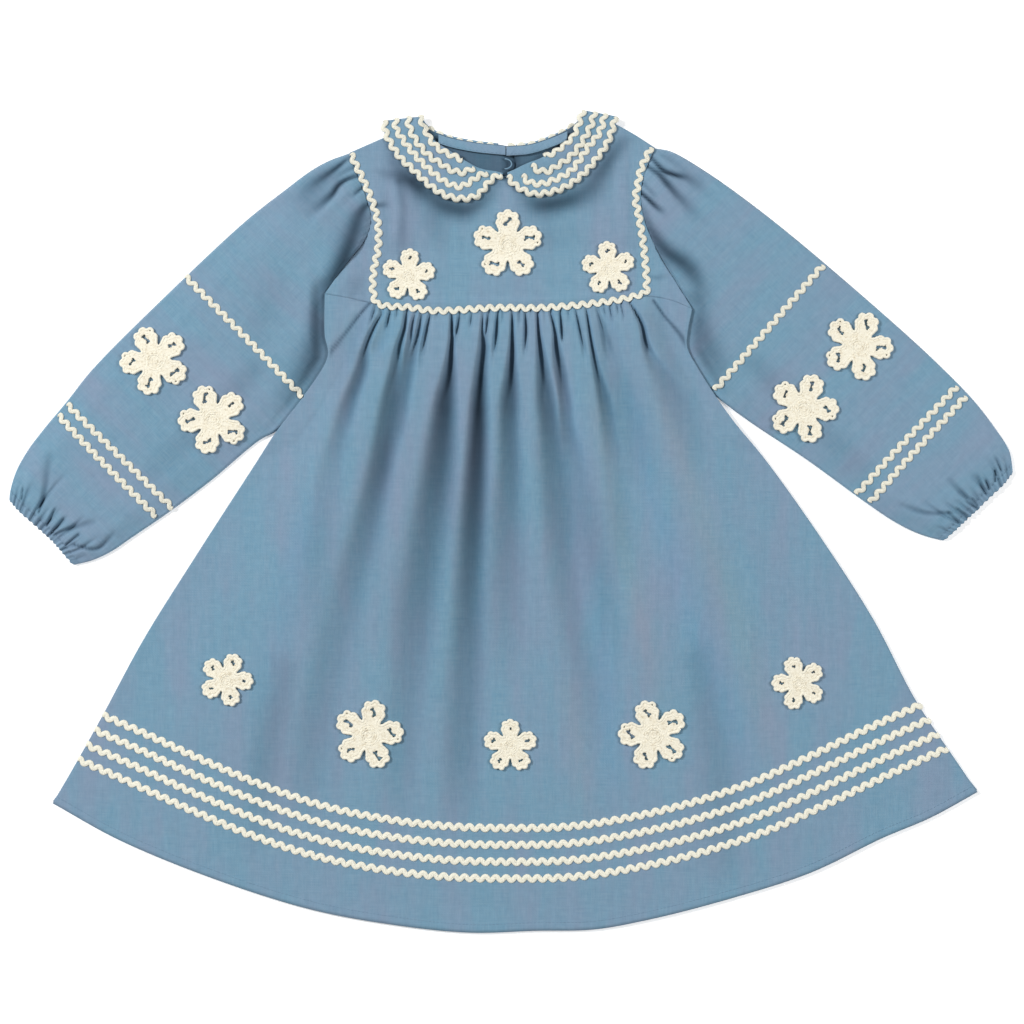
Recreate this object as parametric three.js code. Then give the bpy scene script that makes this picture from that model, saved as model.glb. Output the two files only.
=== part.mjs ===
import * as THREE from 'three';

// A child's smock dress in chambray, laid flat with its front up: the neck toward +Y, the hem
// toward -Y, the wearer's right sleeve toward -X, and the underside at z = 0. Sizes are in mm.

// Cloth and its layers
const cloth = 1.2;
const gap = 0.3;
const liftOverCollar = cloth + gap;
const frontOverBack = cloth + gap;

// Wavy braid trim
const braidPitch = 8.3;
const braidSway = 1.45;
const braidHalf = 1.45;
const braidRise = 1;

// Crochet flowers: radius to the petal tips, height of the edge, of the raised round and of the eye
const bigFlower = 27;
const smallFlower = 20;
const flowerEdge = 1.4;
const flowerRound = 2.3;
const flowerEye = 1.7;

// Where the pieces meet, as the dress lies
const shoulder = { left: [-129, 295], right: [115, 299] };
const neckPoint = { left: [-73, 318], right: [57, 322] };
const underarm = { left: [-149, 182], right: [145, 170] };
const hemCorner = { left: [-367, -225.5], right: [373.5, -216.5] };
const centreBack = -4;

// Colours and finish
const chambray = new THREE.MeshStandardMaterial({ color: 0x7898ae, roughness: 0.9, metalness: 0 });
const cotton = new THREE.MeshStandardMaterial({ color: 0xefebd8, roughness: 0.85, metalness: 0 });
const buttonFinish = new THREE.MeshStandardMaterial({ color: 0xe9e3d3, roughness: 0.35, metalness: 0 });

const dress = new THREE.Group();

function add(name, geometry, material) {
  const mesh = new THREE.Mesh(geometry, material);
  mesh.name = name;
  dress.add(mesh);
  return geometry;
}

// A closed body from its points and triangles, with the faces turned outward
function solid(points, faces) {
  const crossed = new THREE.Vector3();
  let volume = 0;
  for (const [i, j, k] of faces) {
    volume += points[i].dot(crossed.crossVectors(points[j], points[k]));
  }
  const outward = volume > 0 ? faces : faces.map(([i, j, k]) => [i, k, j]);
  const geometry = new THREE.BufferGeometry().setFromPoints(points);
  geometry.setIndex(outward.flat());
  geometry.computeVertexNormals();
  return geometry;
}

// A wall between two faces, each a function of u and v
function wall(us, vs, over, under) {
  const points = [];
  for (const face of [over, under]) {
    for (const u of us) {
      for (const v of vs) points.push(face(u, v));
    }
  }
  const at = (layer, i, j) => (layer * us.length + i) * vs.length + j;
  const faces = [];
  const quad = (a, b, c, d) => faces.push([a, b, c], [a, c, d]);
  const lastU = us.length - 1;
  const lastV = vs.length - 1;
  for (let i = 0; i < lastU; i++) {
    for (let j = 0; j < lastV; j++) {
      quad(at(0, i, j), at(0, i + 1, j), at(0, i + 1, j + 1), at(0, i, j + 1));
      quad(at(1, i, j), at(1, i, j + 1), at(1, i + 1, j + 1), at(1, i + 1, j));
    }
    quad(at(1, i, 0), at(1, i + 1, 0), at(0, i + 1, 0), at(0, i, 0));
    quad(at(0, i, lastV), at(0, i + 1, lastV), at(1, i + 1, lastV), at(1, i, lastV));
  }
  for (let j = 0; j < lastV; j++) {
    quad(at(0, 0, j), at(0, 0, j + 1), at(1, 0, j + 1), at(1, 0, j));
    quad(at(1, lastU, j), at(1, lastU, j + 1), at(0, lastU, j + 1), at(0, lastU, j));
  }
  return solid(points, faces);
}

// Closed rings of points joined one to the next. An open tube has an inner ring for each outer
// one, and a bar without them is capped at its ends.
function joinRings(outer, inner = null) {
  const count = outer[0].length;
  const rings = inner ? [...outer, ...inner] : outer;
  const points = rings.flat();
  const faces = [];
  const quad = (a, b, c, d) => faces.push([a, b, c], [a, c, d]);
  const at = (ring, k) => ring * count + (k % count);
  const last = outer.length - 1;
  for (let k = 0; k < count; k++) {
    for (let i = 0; i < last; i++) {
      quad(at(i, k), at(i + 1, k), at(i + 1, k + 1), at(i, k + 1));
      if (inner) {
        const j = i + outer.length;
        quad(at(j, k), at(j, k + 1), at(j + 1, k + 1), at(j + 1, k));
      }
    }
    if (inner) {
      quad(at(0, k), at(0, k + 1), at(outer.length, k + 1), at(outer.length, k));
      quad(at(last, k), at(last + outer.length, k), at(last + outer.length, k + 1), at(last, k + 1));
    }
  }
  for (let k = 1; k + 1 < count && !inner; k++) {
    faces.push([at(0, 0), at(0, k), at(0, k + 1)]);
    faces.push([at(last, 0), at(last, k + 1), at(last, k)]);
  }
  return solid(points, faces);
}

// A smooth curve in plan through points given as [x, y]
function curveThrough(points) {
  const places = points.map(([x, y]) => new THREE.Vector3(x, y, 0));
  return new THREE.CatmullRomCurve3(places, false, 'centripetal');
}

// An edge of a panel: stretches of smooth curve, each with its share of the way along
function edge(...stretches) {
  const curves = stretches.map(({ share = 1, points }) => ({ share, curve: curveThrough(points) }));
  return (along) => {
    let rest = along;
    for (const { share, curve } of curves) {
      if (rest <= share + 1e-9) return curve.getPointAt(Math.min(rest / share, 1));
      rest -= share;
    }
    return curves.at(-1).curve.getPointAt(1);
  };
}

// The plan of a panel between its four edges. A higher hold keeps the bends of the left and
// right edges closer to them.
function between({ start, end, left, right, hold = 1 }) {
  return (u, v) => {
    const leftBend = left(v).sub(start(0).lerp(end(0), v));
    const rightBend = right(v).sub(start(1).lerp(end(1), v));
    const point = start(u).lerp(end(u), v);
    return point.addScaledVector(leftBend, (1 - u) ** hold).addScaledVector(rightBend, u ** hold);
  };
}

const spaced = (count, from = 0, to = 1) =>
  Array.from({ length: count + 1 }, (_, i) => from + ((to - from) * i) / count);

const smooth = (value, from, to) => THREE.MathUtils.smoothstep(value, from, to);

// A value read between the rows of a table of [place, value]
function graded(rows, place) {
  const next = rows.findIndex(([at]) => at >= place);
  if (next < 0) return rows.at(-1)[1];
  if (next === 0) return rows[0][1];
  const [a, low] = rows[next - 1];
  const [b, high] = rows[next];
  return THREE.MathUtils.lerp(low, high, (place - a) / (b - a));
}

// How much of the loft the folds press down at u, v. Each fold lies at one u and fades with v.
function pressed(folds, u, v) {
  let most = 0;
  for (const { at, reach, width, depth } of folds) {
    const aside = (u - at) / width;
    const fade = 1 - smooth(v, reach * 0.35, reach);
    most = Math.max(most, depth * fade * Math.exp(-aside * aside));
  }
  return most;
}

const shifted = (points, dx, dy) => points.map(([x, y]) => [x + dx, y + dy]);

// Yoke: the seam over the gathers, the armholes and the front and back necklines
const yokeSeam = [
  underarm.left, [-129, 178], [-111, 172.5], [-88, 168], [-61, 165], [-14, 166.5],
  [28, 167], [75, 171.5], [96, 175], [111, 177], [129, 175], underarm.right,
];
const armholeLeft = [
  shoulder.left, [-122, 276], [-116, 260], [-112, 243], [-114, 232], [-119, 222],
  [-128, 211], [-140, 195], underarm.left,
];
const armholeRight = [
  shoulder.right, [110, 287], [106.5, 277], [104, 264], [105, 249], [108, 237],
  [114, 223], [122, 208], [134, 188], underarm.right,
];
const shoulderLeft = [shoulder.left, [-97, 309], [-85, 314], neckPoint.left];
const shoulderRight = [neckPoint.right, [70, 322], [81, 319], [98, 310], shoulder.right];
const frontNeck = [
  neckPoint.left, [-65, 306], [-46, 294], [-33, 285], [-20, 279.5], [-4, 276.5],
  [10, 283.5], [22, 288.5], [41, 298], [50, 307], neckPoint.right,
];
const backNeckLeft = [neckPoint.left, [-66, 313.5], [-49, 307.5], [-29, 303.5], [centreBack - gap / 2, 301]];
const backNeckRight = [[centreBack + gap / 2, 300.5], [15, 302], [35, 308.5], [50, 316], neckPoint.right];

const shoulderShare = 0.16;
const yokeRows = [0, 0.13, 0.25, 0.38, 0.47, 0.57, 0.7, 0.85, 1];

// The back yoke rests on the turned-over collar near the neck and on the floor below it
const backYokeRest = (y) => liftOverCollar * smooth(y, 236, 256);
const frontYokeRest = (y) => liftOverCollar * smooth(y, 214, 234) + frontOverBack;

// The body's sides lie over the sleeves from the underarm down to where the sleeve comes clear
const overSleeve = 2.5;
const sideEdgeUpward = {
  left: [[73, -187], [99.5, -166.5], [132.5, -146.5], [149, -149], [underarm.left[1], underarm.left[0]]],
  right: [[101, 163], [118.5, 152], [139.5, 141], [152, 141.5], [underarm.right[1], underarm.right[0]]],
};
const insideSide = (x, y) =>
  (x < 0 ? x - graded(sideEdgeUpward.left, y) : graded(sideEdgeUpward.right, y) - x);
const overArm = ({ x, y }) =>
  overSleeve * (1 - smooth(insideSide(x, y), 15, 36)) * smooth(y, 48, 72) * (1 - smooth(y, 190, 215));

function yokeFront() {
  const plan = between({
    start: edge(
      { share: shoulderShare, points: shoulderLeft },
      { share: 1 - 2 * shoulderShare, points: frontNeck },
      { share: shoulderShare, points: shoulderRight },
    ),
    end: edge({ points: yokeSeam }),
    left: edge({ points: armholeLeft }),
    right: edge({ points: armholeRight }),
  });
  const swell = 1.1;
  const us = [0, 0.04, 0.08, 0.12, ...spaced(12, shoulderShare, 1 - shoulderShare), 0.88, 0.92, 0.96, 1];
  const under = (u, v) => {
    const point = plan(u, v);
    const loft = swell * Math.sin(Math.PI * u) * smooth(v, 0.45, 0.7);
    return point.setZ(frontYokeRest(point.y) + Math.max(loft, overArm(point)));
  };
  const over = (u, v) => {
    const point = under(u, v);
    return point.setZ(point.z + cloth);
  };
  return add('yoke_front', wall(us, yokeRows, over, under), chambray);
}

function yokeBack() {
  const middle = yokeSeam.findIndex(([x]) => x > centreBack);
  const seamAtMiddle = 166.8;
  const inset = 2.6;
  const halves = [
    {
      name: 'yoke_back_left',
      start: edge({ share: 0.35, points: shoulderLeft }, { share: 0.65, points: backNeckLeft }),
      end: edge({ points: [...yokeSeam.slice(0, middle), [centreBack - gap / 2, seamAtMiddle]] }),
      left: edge({ points: shifted(armholeLeft, inset, 0) }),
      right: edge({ points: [[centreBack - gap / 2, 301], [centreBack - gap / 2, seamAtMiddle]] }),
      us: [0, 0.17, ...spaced(4, 0.35, 1)],
    },
    {
      name: 'yoke_back_right',
      start: edge({ share: 0.65, points: backNeckRight }, { share: 0.35, points: shoulderRight }),
      end: edge({ points: [[centreBack + gap / 2, seamAtMiddle], ...yokeSeam.slice(middle)] }),
      left: edge({
        points: [[centreBack + gap / 2, 300.5], [1, 295], [4, 287], [2, 276], [-2.5, 264], [-3.5, 250],
          [centreBack + gap / 2, 225], [centreBack + gap / 2, seamAtMiddle]],
      }),
      right: edge({ points: shifted(armholeRight, -inset, 0) }),
      us: [...spaced(4, 0, 0.65), 0.77, 0.85, 0.93, 1],
    },
  ];
  for (const { name, us, ...edges } of halves) {
    const plan = between(edges);
    const under = (u, v) => {
      const point = plan(u, v);
      return point.setZ(backYokeRest(point.y));
    };
    const over = (u, v) => {
      const point = under(u, v);
      return point.setZ(point.z + cloth);
    };
    add(name, wall(us, yokeRows, over, under), chambray);
  }
}

// Skirt front: gathers below the seam. Place and half-width are shares of the panel's width,
// reach is a share of its height, and depth is the share of the loft that the fold presses down.
const gatherColumns = ['at', 'reach', 'width', 'depth'];
const gathers = [
  [0.139, 0.07, 0.005, 0.75], [0.153, 0.1, 0.005, 0.85], [0.168, 0.06, 0.005, 0.7],
  [0.196, 0.09, 0.006, 0.8], [0.218, 0.34, 0.011, 0.9], [0.245, 0.08, 0.007, 0.75],
  [0.286, 0.12, 0.009, 0.85], [0.304, 0.07, 0.006, 0.75], [0.345, 0.42, 0.012, 0.95],
  [0.368, 0.08, 0.007, 0.8], [0.43, 0.75, 0.014, 1], [0.446, 0.07, 0.006, 0.75],
  [0.474, 0.11, 0.007, 0.85], [0.488, 0.06, 0.005, 0.7], [0.51, 0.32, 0.01, 0.9],
  [0.531, 0.09, 0.006, 0.8], [0.548, 0.06, 0.006, 0.75], [0.585, 0.48, 0.012, 0.95],
  [0.621, 0.22, 0.009, 0.85], [0.643, 0.07, 0.006, 0.75], [0.689, 0.13, 0.009, 0.85],
  [0.716, 0.46, 0.012, 0.95], [0.747, 0.07, 0.006, 0.75], [0.771, 0.1, 0.007, 0.8],
  [0.812, 0.14, 0.009, 0.85], [0.841, 0.08, 0.006, 0.75], [0.891, 0.12, 0.009, 0.8],
].map((row) => Object.fromEntries(row.map((value, i) => [gatherColumns[i], value])));

const skirtSideLeft = [
  underarm.left, [-149, 149], [-146.5, 132.5], [-166.5, 99.5], [-187, 73], [-208, 41],
  [-254.5, -31], [-294.5, -95], [-329, -159], [-356, -207], hemCorner.left,
];
const skirtSideRight = [
  underarm.right, [141.5, 152], [141, 139.5], [152, 118.5], [177.5, 81], [204, 49],
  [249.5, -15], [290.5, -79], [324, -143], [356, -191], hemCorner.right,
];
const hem = [
  hemCorner.left, [-313.5, -255], [-233.5, -287.5], [-160, -310.5], [-96, -322.5], [-33, -329],
  [20, -327.5], [66, -326.5], [111, -318.5], [175, -302], [240, -281], [297, -253.5], [336, -237],
  hemCorner.right,
];

function skirtFront() {
  const plan = between({
    start: edge({ points: shifted(yokeSeam, 0, -2 * gap) }),
    end: edge({ points: hem }),
    left: edge({ points: shifted(skirtSideLeft, 0, -2 * gap) }),
    right: edge({ points: shifted(skirtSideRight, 0, -2 * gap) }),
  });
  const loftDown = [[0, 1.2], [0.012, 3.4], [0.035, 5.6], [0.075, 5.4], [0.13, 4.4], [0.21, 3.4],
    [0.31, 2.8], [0.44, 2.2], [0.6, 1.4], [0.78, 0.8], [1, 0.4]];
  // A crease runs from the yoke's corner out to the side edge
  const crease = { at: 0.11, slant: 1.1, width: 0.02, depth: 1.2 };
  const folds = gathers.map(({ at }) => at);
  const ridges = folds.slice(1).map((at, i) => (at + folds[i]) / 2);
  const us = [0, 0.012, 0.04, 0.08, 0.115, ...folds, ...ridges, 0.92, 0.95, 0.98, 1].sort((a, b) => a - b);
  const vs = loftDown.map(([v]) => v);
  const under = (u, v) => {
    const point = plan(u, v);
    const side = Math.min(u, 1 - u);
    const swell = graded(loftDown, v) * smooth(side, 0, 0.13) * (1 - 0.93 * pressed(gathers, u, v));
    const fromCrease = (side - crease.at + crease.slant * v) / crease.width;
    const sideFold = crease.depth * Math.exp(-(fromCrease ** 2)) * (1 - smooth(v, 0.05, 0.1));
    return point.setZ(frontOverBack + Math.max(swell - sideFold, overArm(point), 0.1));
  };
  const over = (u, v) => {
    const point = under(u, v);
    return point.setZ(point.z + cloth);
  };
  return add('skirt_front', wall(us, vs, over, under), chambray);
}

// Skirt back: flat on the floor, inside the front's sides and clear of the sleeves
function skirtBack() {
  const topLeft = [-134, 179];
  const topRight = [131, 174];
  const plan = between({
    start: edge({ points: shifted([topLeft, ...yokeSeam.slice(1, -1), topRight], 0, -2 * gap) }),
    end: edge({ points: shifted(hem, 0, 1.5) }),
    left: edge({
      points: [[-134, 178.4], [-136, 157], [-135, 134], [-147, 109], [-165, 88], [-184, 70], [-206, 40],
        [-253, -31], [-293, -95], [-327.5, -159], [-354, -206.5], [-367, -224]],
    }),
    right: edge({
      points: [[131, 173.4], [131, 157], [128.5, 138], [139, 113], [160, 97], [175, 80], [202, 48],
        [248, -15], [289, -79], [322.5, -143], [354.5, -191], [373.5, -215]],
    }),
  });
  const us = spaced(18);
  const vs = [0, 0.03, 0.1, 0.17, 0.24, 0.32, 0.5, 0.75, 1];
  const under = (u, v) => plan(u, v).setZ(0);
  const over = (u, v) => plan(u, v).setZ(cloth);
  return add('skirt_back', wall(us, vs, over, under), chambray);
}

// Sleeves: flattened tubes from the armhole (v = 0) to the elastic casing (v = 1), with u running
// from the outer edge to the inner one. Past the underarm the tube starts in a tuck that the
// body's side covers. Folds at the cap and at the wrist are listed apart.
const armholeShare = 0.73;
const sleeves = {
  left: {
    away: -1,
    outer: [shoulder.left, [-145.5, 289], [-160, 281], [-181.5, 265], [-212, 241], [-272, 185], [-336, 121],
      [-355, 97], [-375, 73], [-387, 57], [-396, 41], [-401, 25], [-402, 17]],
    tuck: [underarm.left, [-146, 162], [-140, 138]],
    inner: [[-140, 138], [-150, 114], [-169, 91], [-187, 73], [-201.5, 65], [-240, 33],
      [-272.5, 8.5], [-306, -14.5], [-320, -24], [-335, -31], [-351, -35]],
    wrist: [[-402, 17], [-394, 8], [-380, -4.5], [-367, -16.5], [-351, -35]],
    capFolds: [
      [0.02, 0.1, 0.016, 0.7], [0.09, 0.13, 0.022, 0.9], [0.16, 0.05, 0.015, 0.7], [0.23, 0.08, 0.022, 0.8],
    ],
    wristFolds: [[0.08, 0.05], [0.18, 0.06], [0.32, 0.15], [0.41, 0.05], [0.485, 0.07], [0.58, 0.07],
      [0.67, 0.13], [0.795, 0.06], [0.86, 0.12], [0.94, 0.05]],
  },
  right: {
    away: 1,
    outer: [shoulder.right, [128, 296.5], [155, 281], [189, 257], [229.5, 225], [304, 161], [339, 129],
      [370.5, 97], [389, 73], [399, 57], [401.5, 45], [402, 39]],
    tuck: [underarm.right, [140, 156], [134.5, 141]],
    inner: [[134.5, 141], [144, 118], [163, 101], [189.5, 81], [237.5, 49], [281.5, 17],
      [305, 1], [321, -7.5], [333, -12], [347, -15.5]],
    wrist: [[402, 39], [395, 30], [381, 16.5], [366, 2], [347, -15.5]],
    capFolds: [
      [0.03, 0.08, 0.016, 0.7], [0.1, 0.14, 0.022, 0.9], [0.18, 0.07, 0.015, 0.7], [0.25, 0.06, 0.022, 0.8],
    ],
    wristFolds: [[0.07, 0.05], [0.19, 0.06], [0.3, 0.05], [0.36, 0.07], [0.45, 0.05], [0.52, 0.07],
      [0.6, 0.06], [0.67, 0.08], [0.76, 0.15], [0.88, 0.05]],
  },
};

function sleeve(side) {
  const { away, outer, tuck, inner, wrist, capFolds, wristFolds } = sleeves[side];
  const seamGap = 0.75 * away;
  const armhole = side === 'left' ? armholeLeft : armholeRight;
  const plan = between({
    start: edge(
      { share: armholeShare, points: shifted(armhole, seamGap, 0) },
      { share: 1 - armholeShare, points: shifted(tuck, seamGap, 0) },
    ),
    end: edge({ points: wrist }),
    left: edge({ points: [[outer[0][0] + seamGap, outer[0][1]], ...outer.slice(1)] }),
    right: edge({ points: [[inner[0][0] + seamGap, inner[0][1]], ...inner.slice(1)] }),
    hold: 2,
  });
  const underarmHeight = underarm[side][1];
  const loftAlong = [[0, 1.6], [0.02, 3.4], [0.06, 4.6], [0.13, 4], [0.28, 2.8], [0.5, 2.2], [0.72, 2.2],
    [0.86, 2.8], [0.94, 3.3], [0.975, 2.2], [1, 1.6]];
  const cap = capFolds.map(([at, reach, width, depth]) => ({ at, reach, width, depth }));
  const wristWidth = 0.025;
  const atWrist = wristFolds.map(([at, reach]) => ({ at, reach, width: wristWidth, depth: 0.85 }));
  const ridges = wristFolds.slice(1).map(([at], i) => (at + wristFolds[i][0]) / 2);
  const us = [0.025, ...wristFolds.map(([at]) => at), ...ridges, 0.975].sort((a, b) => a - b);
  const sideRest = (cloth * 2 + gap) / 2;
  const topOf = (u, v) => {
    const acrossRound = smooth(Math.min(u, 1 - u), -0.02, 0.16);
    const press = Math.max(pressed(cap, u, v), pressed(atWrist, u, 1 - v));
    const { x, y } = plan(u, v);
    const belowUnderarm = 1 - smooth(y, underarmHeight + 1, underarmHeight + 16);
    const underBody = smooth(insideSide(x, y), -13, -4) * belowUnderarm;
    const loft = graded(loftAlong, v) * acrossRound * (1 - 0.85 * press) * (1 - 0.95 * underBody);
    return 2 * cloth + gap + loft;
  };
  const ring = (v, inset, wallIn) => {
    const width = plan(0, v).distanceTo(plan(1, v));
    const edgeIn = inset / width;
    const place = (u, z) => plan(edgeIn + u * (1 - 2 * edgeIn), v).setZ(z);
    const lower = [0.97, 0.9, 0.8, 0.7, 0.58, 0.4, 0.2, 0.03];
    return [
      place(0, sideRest),
      ...us.map((u) => place(u, topOf(u, v) - wallIn)),
      place(1, sideRest),
      ...lower.map((u) => place(u, wallIn)),
    ];
  };
  const stations = loftAlong.map(([v]) => v);
  const sideWall = 1.7;
  const outerRings = stations.map((v) => ring(v, 0, 0));
  const innerRings = stations.map((v) => ring(v, sideWall, cloth));
  return add(`sleeve_${side}`, joinRings(outerRings, innerRings), chambray);
}

// Collar: sections from the front corner over the shoulder fold to the centre back, each with a
// point on the neck edge, a point on the outer edge and the height of the cloth's middle
const collarRest = 5.8;
const collarColumns = ['neckX', 'neckY', 'outerX', 'outerY', 'height'];
const collars = {
  left: [
    [-6.5, 278.5, -7, 276, collarRest], [-13, 280, -14, 273.5, collarRest],
    [-20, 281, -20.5, 266.5, collarRest], [-27, 283, -28, 259.5, collarRest],
    [-33.5, 286.5, -39, 256.5, collarRest], [-42, 291.5, -52.5, 259, collarRest],
    [-50, 297, -66, 267.5, collarRest], [-58, 302, -79.5, 280, collarRest],
    [-65, 307.5, -90, 290.5, collarRest], [-69.5, 313.5, -98, 302.5, collarRest],
    [-71, 319, -101.5, 312.5, collarRest], [-70.5, 322.6, -101, 318.5, 5],
    [-70, 324, -100, 320.5, 3.2], [-70, 322.6, -100.5, 318.5, 1.4],
    [-69, 320, -101, 313, 0.6], [-62, 314, -95, 300, 0.6],
    [-48, 309, -80, 281, 0.6], [-30, 305.5, -55, 267, 0.6],
    [-10, 303, -18, 262, 0.6],
  ],
  right: [
    [-3, 279, -2.6, 276.5, collarRest], [3, 281.5, 1, 269.5, collarRest],
    [9, 284.5, 6.5, 265, collarRest], [15, 287, 17.5, 260.5, collarRest],
    [22, 289.5, 31.5, 262, collarRest], [31, 294, 45.5, 267.5, collarRest],
    [40, 298.5, 59.5, 278, collarRest], [46.5, 303.5, 70, 290.5, collarRest],
    [51, 309.5, 78, 302.5, collarRest], [53.5, 316, 82, 313, collarRest],
    [55, 322, 84, 319, collarRest], [57.5, 327.4, 84, 322.5, 5],
    [58, 328.8, 83.5, 324, 3.2], [57.5, 327.4, 83.5, 322.5, 1.4],
    [56, 324.5, 83, 318, 0.6], [51, 318.5, 77, 305, 0.6],
    [36, 311, 62, 283, 0.6], [17, 304, 38, 268, 0.6],
    [4, 302, 12, 262, 0.6],
  ],
};
const collarSections = Object.fromEntries(Object.entries(collars).map(([side, rows]) => [
  side,
  rows.map((row) => Object.fromEntries(row.map((value, i) => [collarColumns[i], value]))),
]));

// The middle of a collar's cloth, at a section number and a share of the way from its outer edge
// to its neck edge, where it swells into a roll
function collarSheet(side) {
  const sections = collarSections[side];
  const rollRise = 1.3;
  const lastFront = 10;
  const middle = (section, share) => {
    const i = Math.min(Math.floor(section), sections.length - 2);
    const mix = (column) => THREE.MathUtils.lerp(sections[i][column], sections[i + 1][column], section - i);
    const alongFront = smooth(section, 1, 4) * (1 - smooth(section, lastFront - 1, lastFront + 2));
    const roll = rollRise * smooth(share, 0.55, 0.9) * alongFront;
    return new THREE.Vector3(
      THREE.MathUtils.lerp(mix('outerX'), mix('neckX'), share),
      THREE.MathUtils.lerp(mix('outerY'), mix('neckY'), share),
      mix('height') + roll,
    );
  };
  const step = 0.02;
  const last = sections.length - 1;
  const facing = (section, share) => {
    const s = THREE.MathUtils.clamp(section, step, last - step);
    const t = THREE.MathUtils.clamp(share, step, 1 - step);
    const along = middle(s + step, t).sub(middle(s - step, t));
    const across = middle(s, t + step).sub(middle(s, t - step));
    const outward = along.cross(across).normalize();
    return side === 'left' ? outward.negate() : outward;
  };
  return (section, share, out) => middle(section, share).addScaledVector(facing(section, share), out);
}

function collar(side) {
  const sheet = collarSheet(side);
  const sections = collarSections[side].map((_, i) => i);
  const shares = [0, 0.3, 0.6, 0.88, 1];
  const over = (section, share) => sheet(section, share, cloth / 2);
  const under = (section, share) => sheet(section, share, -cloth / 2);
  add(`collar_${side}`, wall(sections, shares, over, under), chambray);
}

// The highest point of the given cloth over a place in plan
function heightOn(...geometries) {
  const triangles = [];
  for (const geometry of geometries) {
    const position = geometry.attributes.position;
    const index = geometry.index.array;
    for (let i = 0; i < index.length; i += 3) {
      const corners = [0, 1, 2].map((k) => new THREE.Vector3().fromBufferAttribute(position, index[i + k]));
      const triangle = new THREE.Triangle(...corners);
      const box = new THREE.Box3().setFromPoints(corners);
      if (triangle.getNormal(new THREE.Vector3()).z > 1e-3) triangles.push({ corners, box });
    }
  }
  const slack = 1e-6;
  return (x, y) => {
    let highest = -Infinity;
    for (const { corners: [a, b, c], box } of triangles) {
      if (x < box.min.x || x > box.max.x || y < box.min.y || y > box.max.y) continue;
      const area = (b.x - a.x) * (c.y - a.y) - (c.x - a.x) * (b.y - a.y);
      const toB = ((x - a.x) * (c.y - a.y) - (c.x - a.x) * (y - a.y)) / area;
      const toC = ((b.x - a.x) * (y - a.y) - (x - a.x) * (b.y - a.y)) / area;
      if (toB < -slack || toC < -slack || toB + toC > 1 + slack) continue;
      highest = Math.max(highest, a.z + toB * (b.z - a.z) + toC * (c.z - a.z));
    }
    return highest;
  };
}

// The braid sways from side to side, one way at even steps and the other at odd ones
const swayAt = (step) => braidSway * (1 - 2 * Math.abs(((step % 2) + 2) % 2 - 1));

// Wavy braid of a three-sided section, from a function that places a point by step, by its
// distance across and by its height
function braid(name, steps, place) {
  const rings = spaced(steps, 0, steps).map((step) => [
    place(step, swayAt(step) - braidHalf, gap),
    place(step, swayAt(step) + braidHalf, gap),
    place(step, swayAt(step), gap + braidRise),
  ]);
  add(name, joinRings(rings), cotton);
}

// Braid along a line in plan, on the cloth below it
function braidOver(name, points, heightAt, aside = 0) {
  const line = curveThrough(points);
  line.arcLengthDivisions = 600;
  const steps = Math.round((2 * line.getLength()) / braidPitch);
  const plan = (step, across) => {
    const along = THREE.MathUtils.clamp(step / steps, 0, 1);
    const tangent = line.getTangentAt(along);
    const side = new THREE.Vector3(-tangent.y, tangent.x, 0);
    return line.getPointAt(along).addScaledVector(side, across + aside);
  };
  const heights = spaced(steps, 0, steps).map((step) => {
    let highest = 0;
    for (const near of spaced(8, -1, 1)) {
      for (const across of [-braidHalf, 0, braidHalf]) {
        const spot = plan(step + near, swayAt(step + near) + across);
        highest = Math.max(highest, heightAt(spot.x, spot.y));
      }
    }
    return highest;
  });
  braid(name, steps, (step, across, rise) => plan(step, across).setZ(heights[step] + rise));
}

// The braid frames the front yoke: down one armhole, along the seam and up the other
const yokeBraid = [
  [-127.5, 293], [-124, 285], [-120, 277], [-112.5, 260], [-107.2, 243], [-106, 231], [-106.5, 218],
  [-110, 200], [-110.4, 184], [-107.5, 175], [-100, 172.5], [-82, 171.3], [-60.5, 168.5], [-14, 170.8],
  [28, 171], [75, 175.6], [98, 180], [108, 184], [108.6, 190], [107, 212], [105, 228], [102, 245], [99.6, 258],
  [101.5, 270], [104, 282], [109, 293], [112, 299.5],
];

// Rows on a collar as [section, share of the way from the outer edge to the neck edge]. They end
// at the crest of the shoulder fold.
const foldCrest = 11.5;
const collarRows = [
  [[0.3, 0.2], [1, 0.13], [2, 0.08], [4, 0.05], [foldCrest, 0.05]],
  [[2.1, 0.85], [3, 0.45], [4, 0.34], [5, 0.31], [8, 0.31], [foldCrest, 0.33]],
  [[3.7, 0.87], [4, 0.72], [5, 0.62], [8, 0.62], [foldCrest, 0.63]],
  [[5, 0.92], [6, 0.9], [8, 0.9], [foldCrest, 0.9]],
];

function collarBraid(side, row) {
  const sheet = collarSheet(side);
  const rows = collarRows[row];
  const from = rows[0][0];
  const to = foldCrest;
  const width = (section) => sheet(section, 0, 0).distanceTo(sheet(section, 1, 0));
  const centre = (section) => sheet(section, graded(rows, section), 0);
  const lengths = [0];
  const parts = 120;
  const foldClearance = 0.7;
  const sectionAt = (part) => from + ((to - from) * part) / parts;
  for (let i = 1; i <= parts; i++) {
    lengths.push(lengths[i - 1] + centre(sectionAt(i)).distanceTo(centre(sectionAt(i - 1))));
  }
  const steps = Math.round((2 * lengths[parts]) / braidPitch);
  const reached = lengths.map((length, i) => [length / lengths[parts], sectionAt(i)]);
  braid(`braid_collar_${side}_${row + 1}`, steps, (step, across, rise) => {
    const section = graded(reached, step / steps);
    const share = graded(rows, section) + across / width(section);
    const roundFold = foldClearance * smooth(section, 9, 10.5);
    return sheet(section, THREE.MathUtils.clamp(share, -0.05, 1.03), cloth / 2 + 0.1 + roundFold + rise);
  });
}

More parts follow.
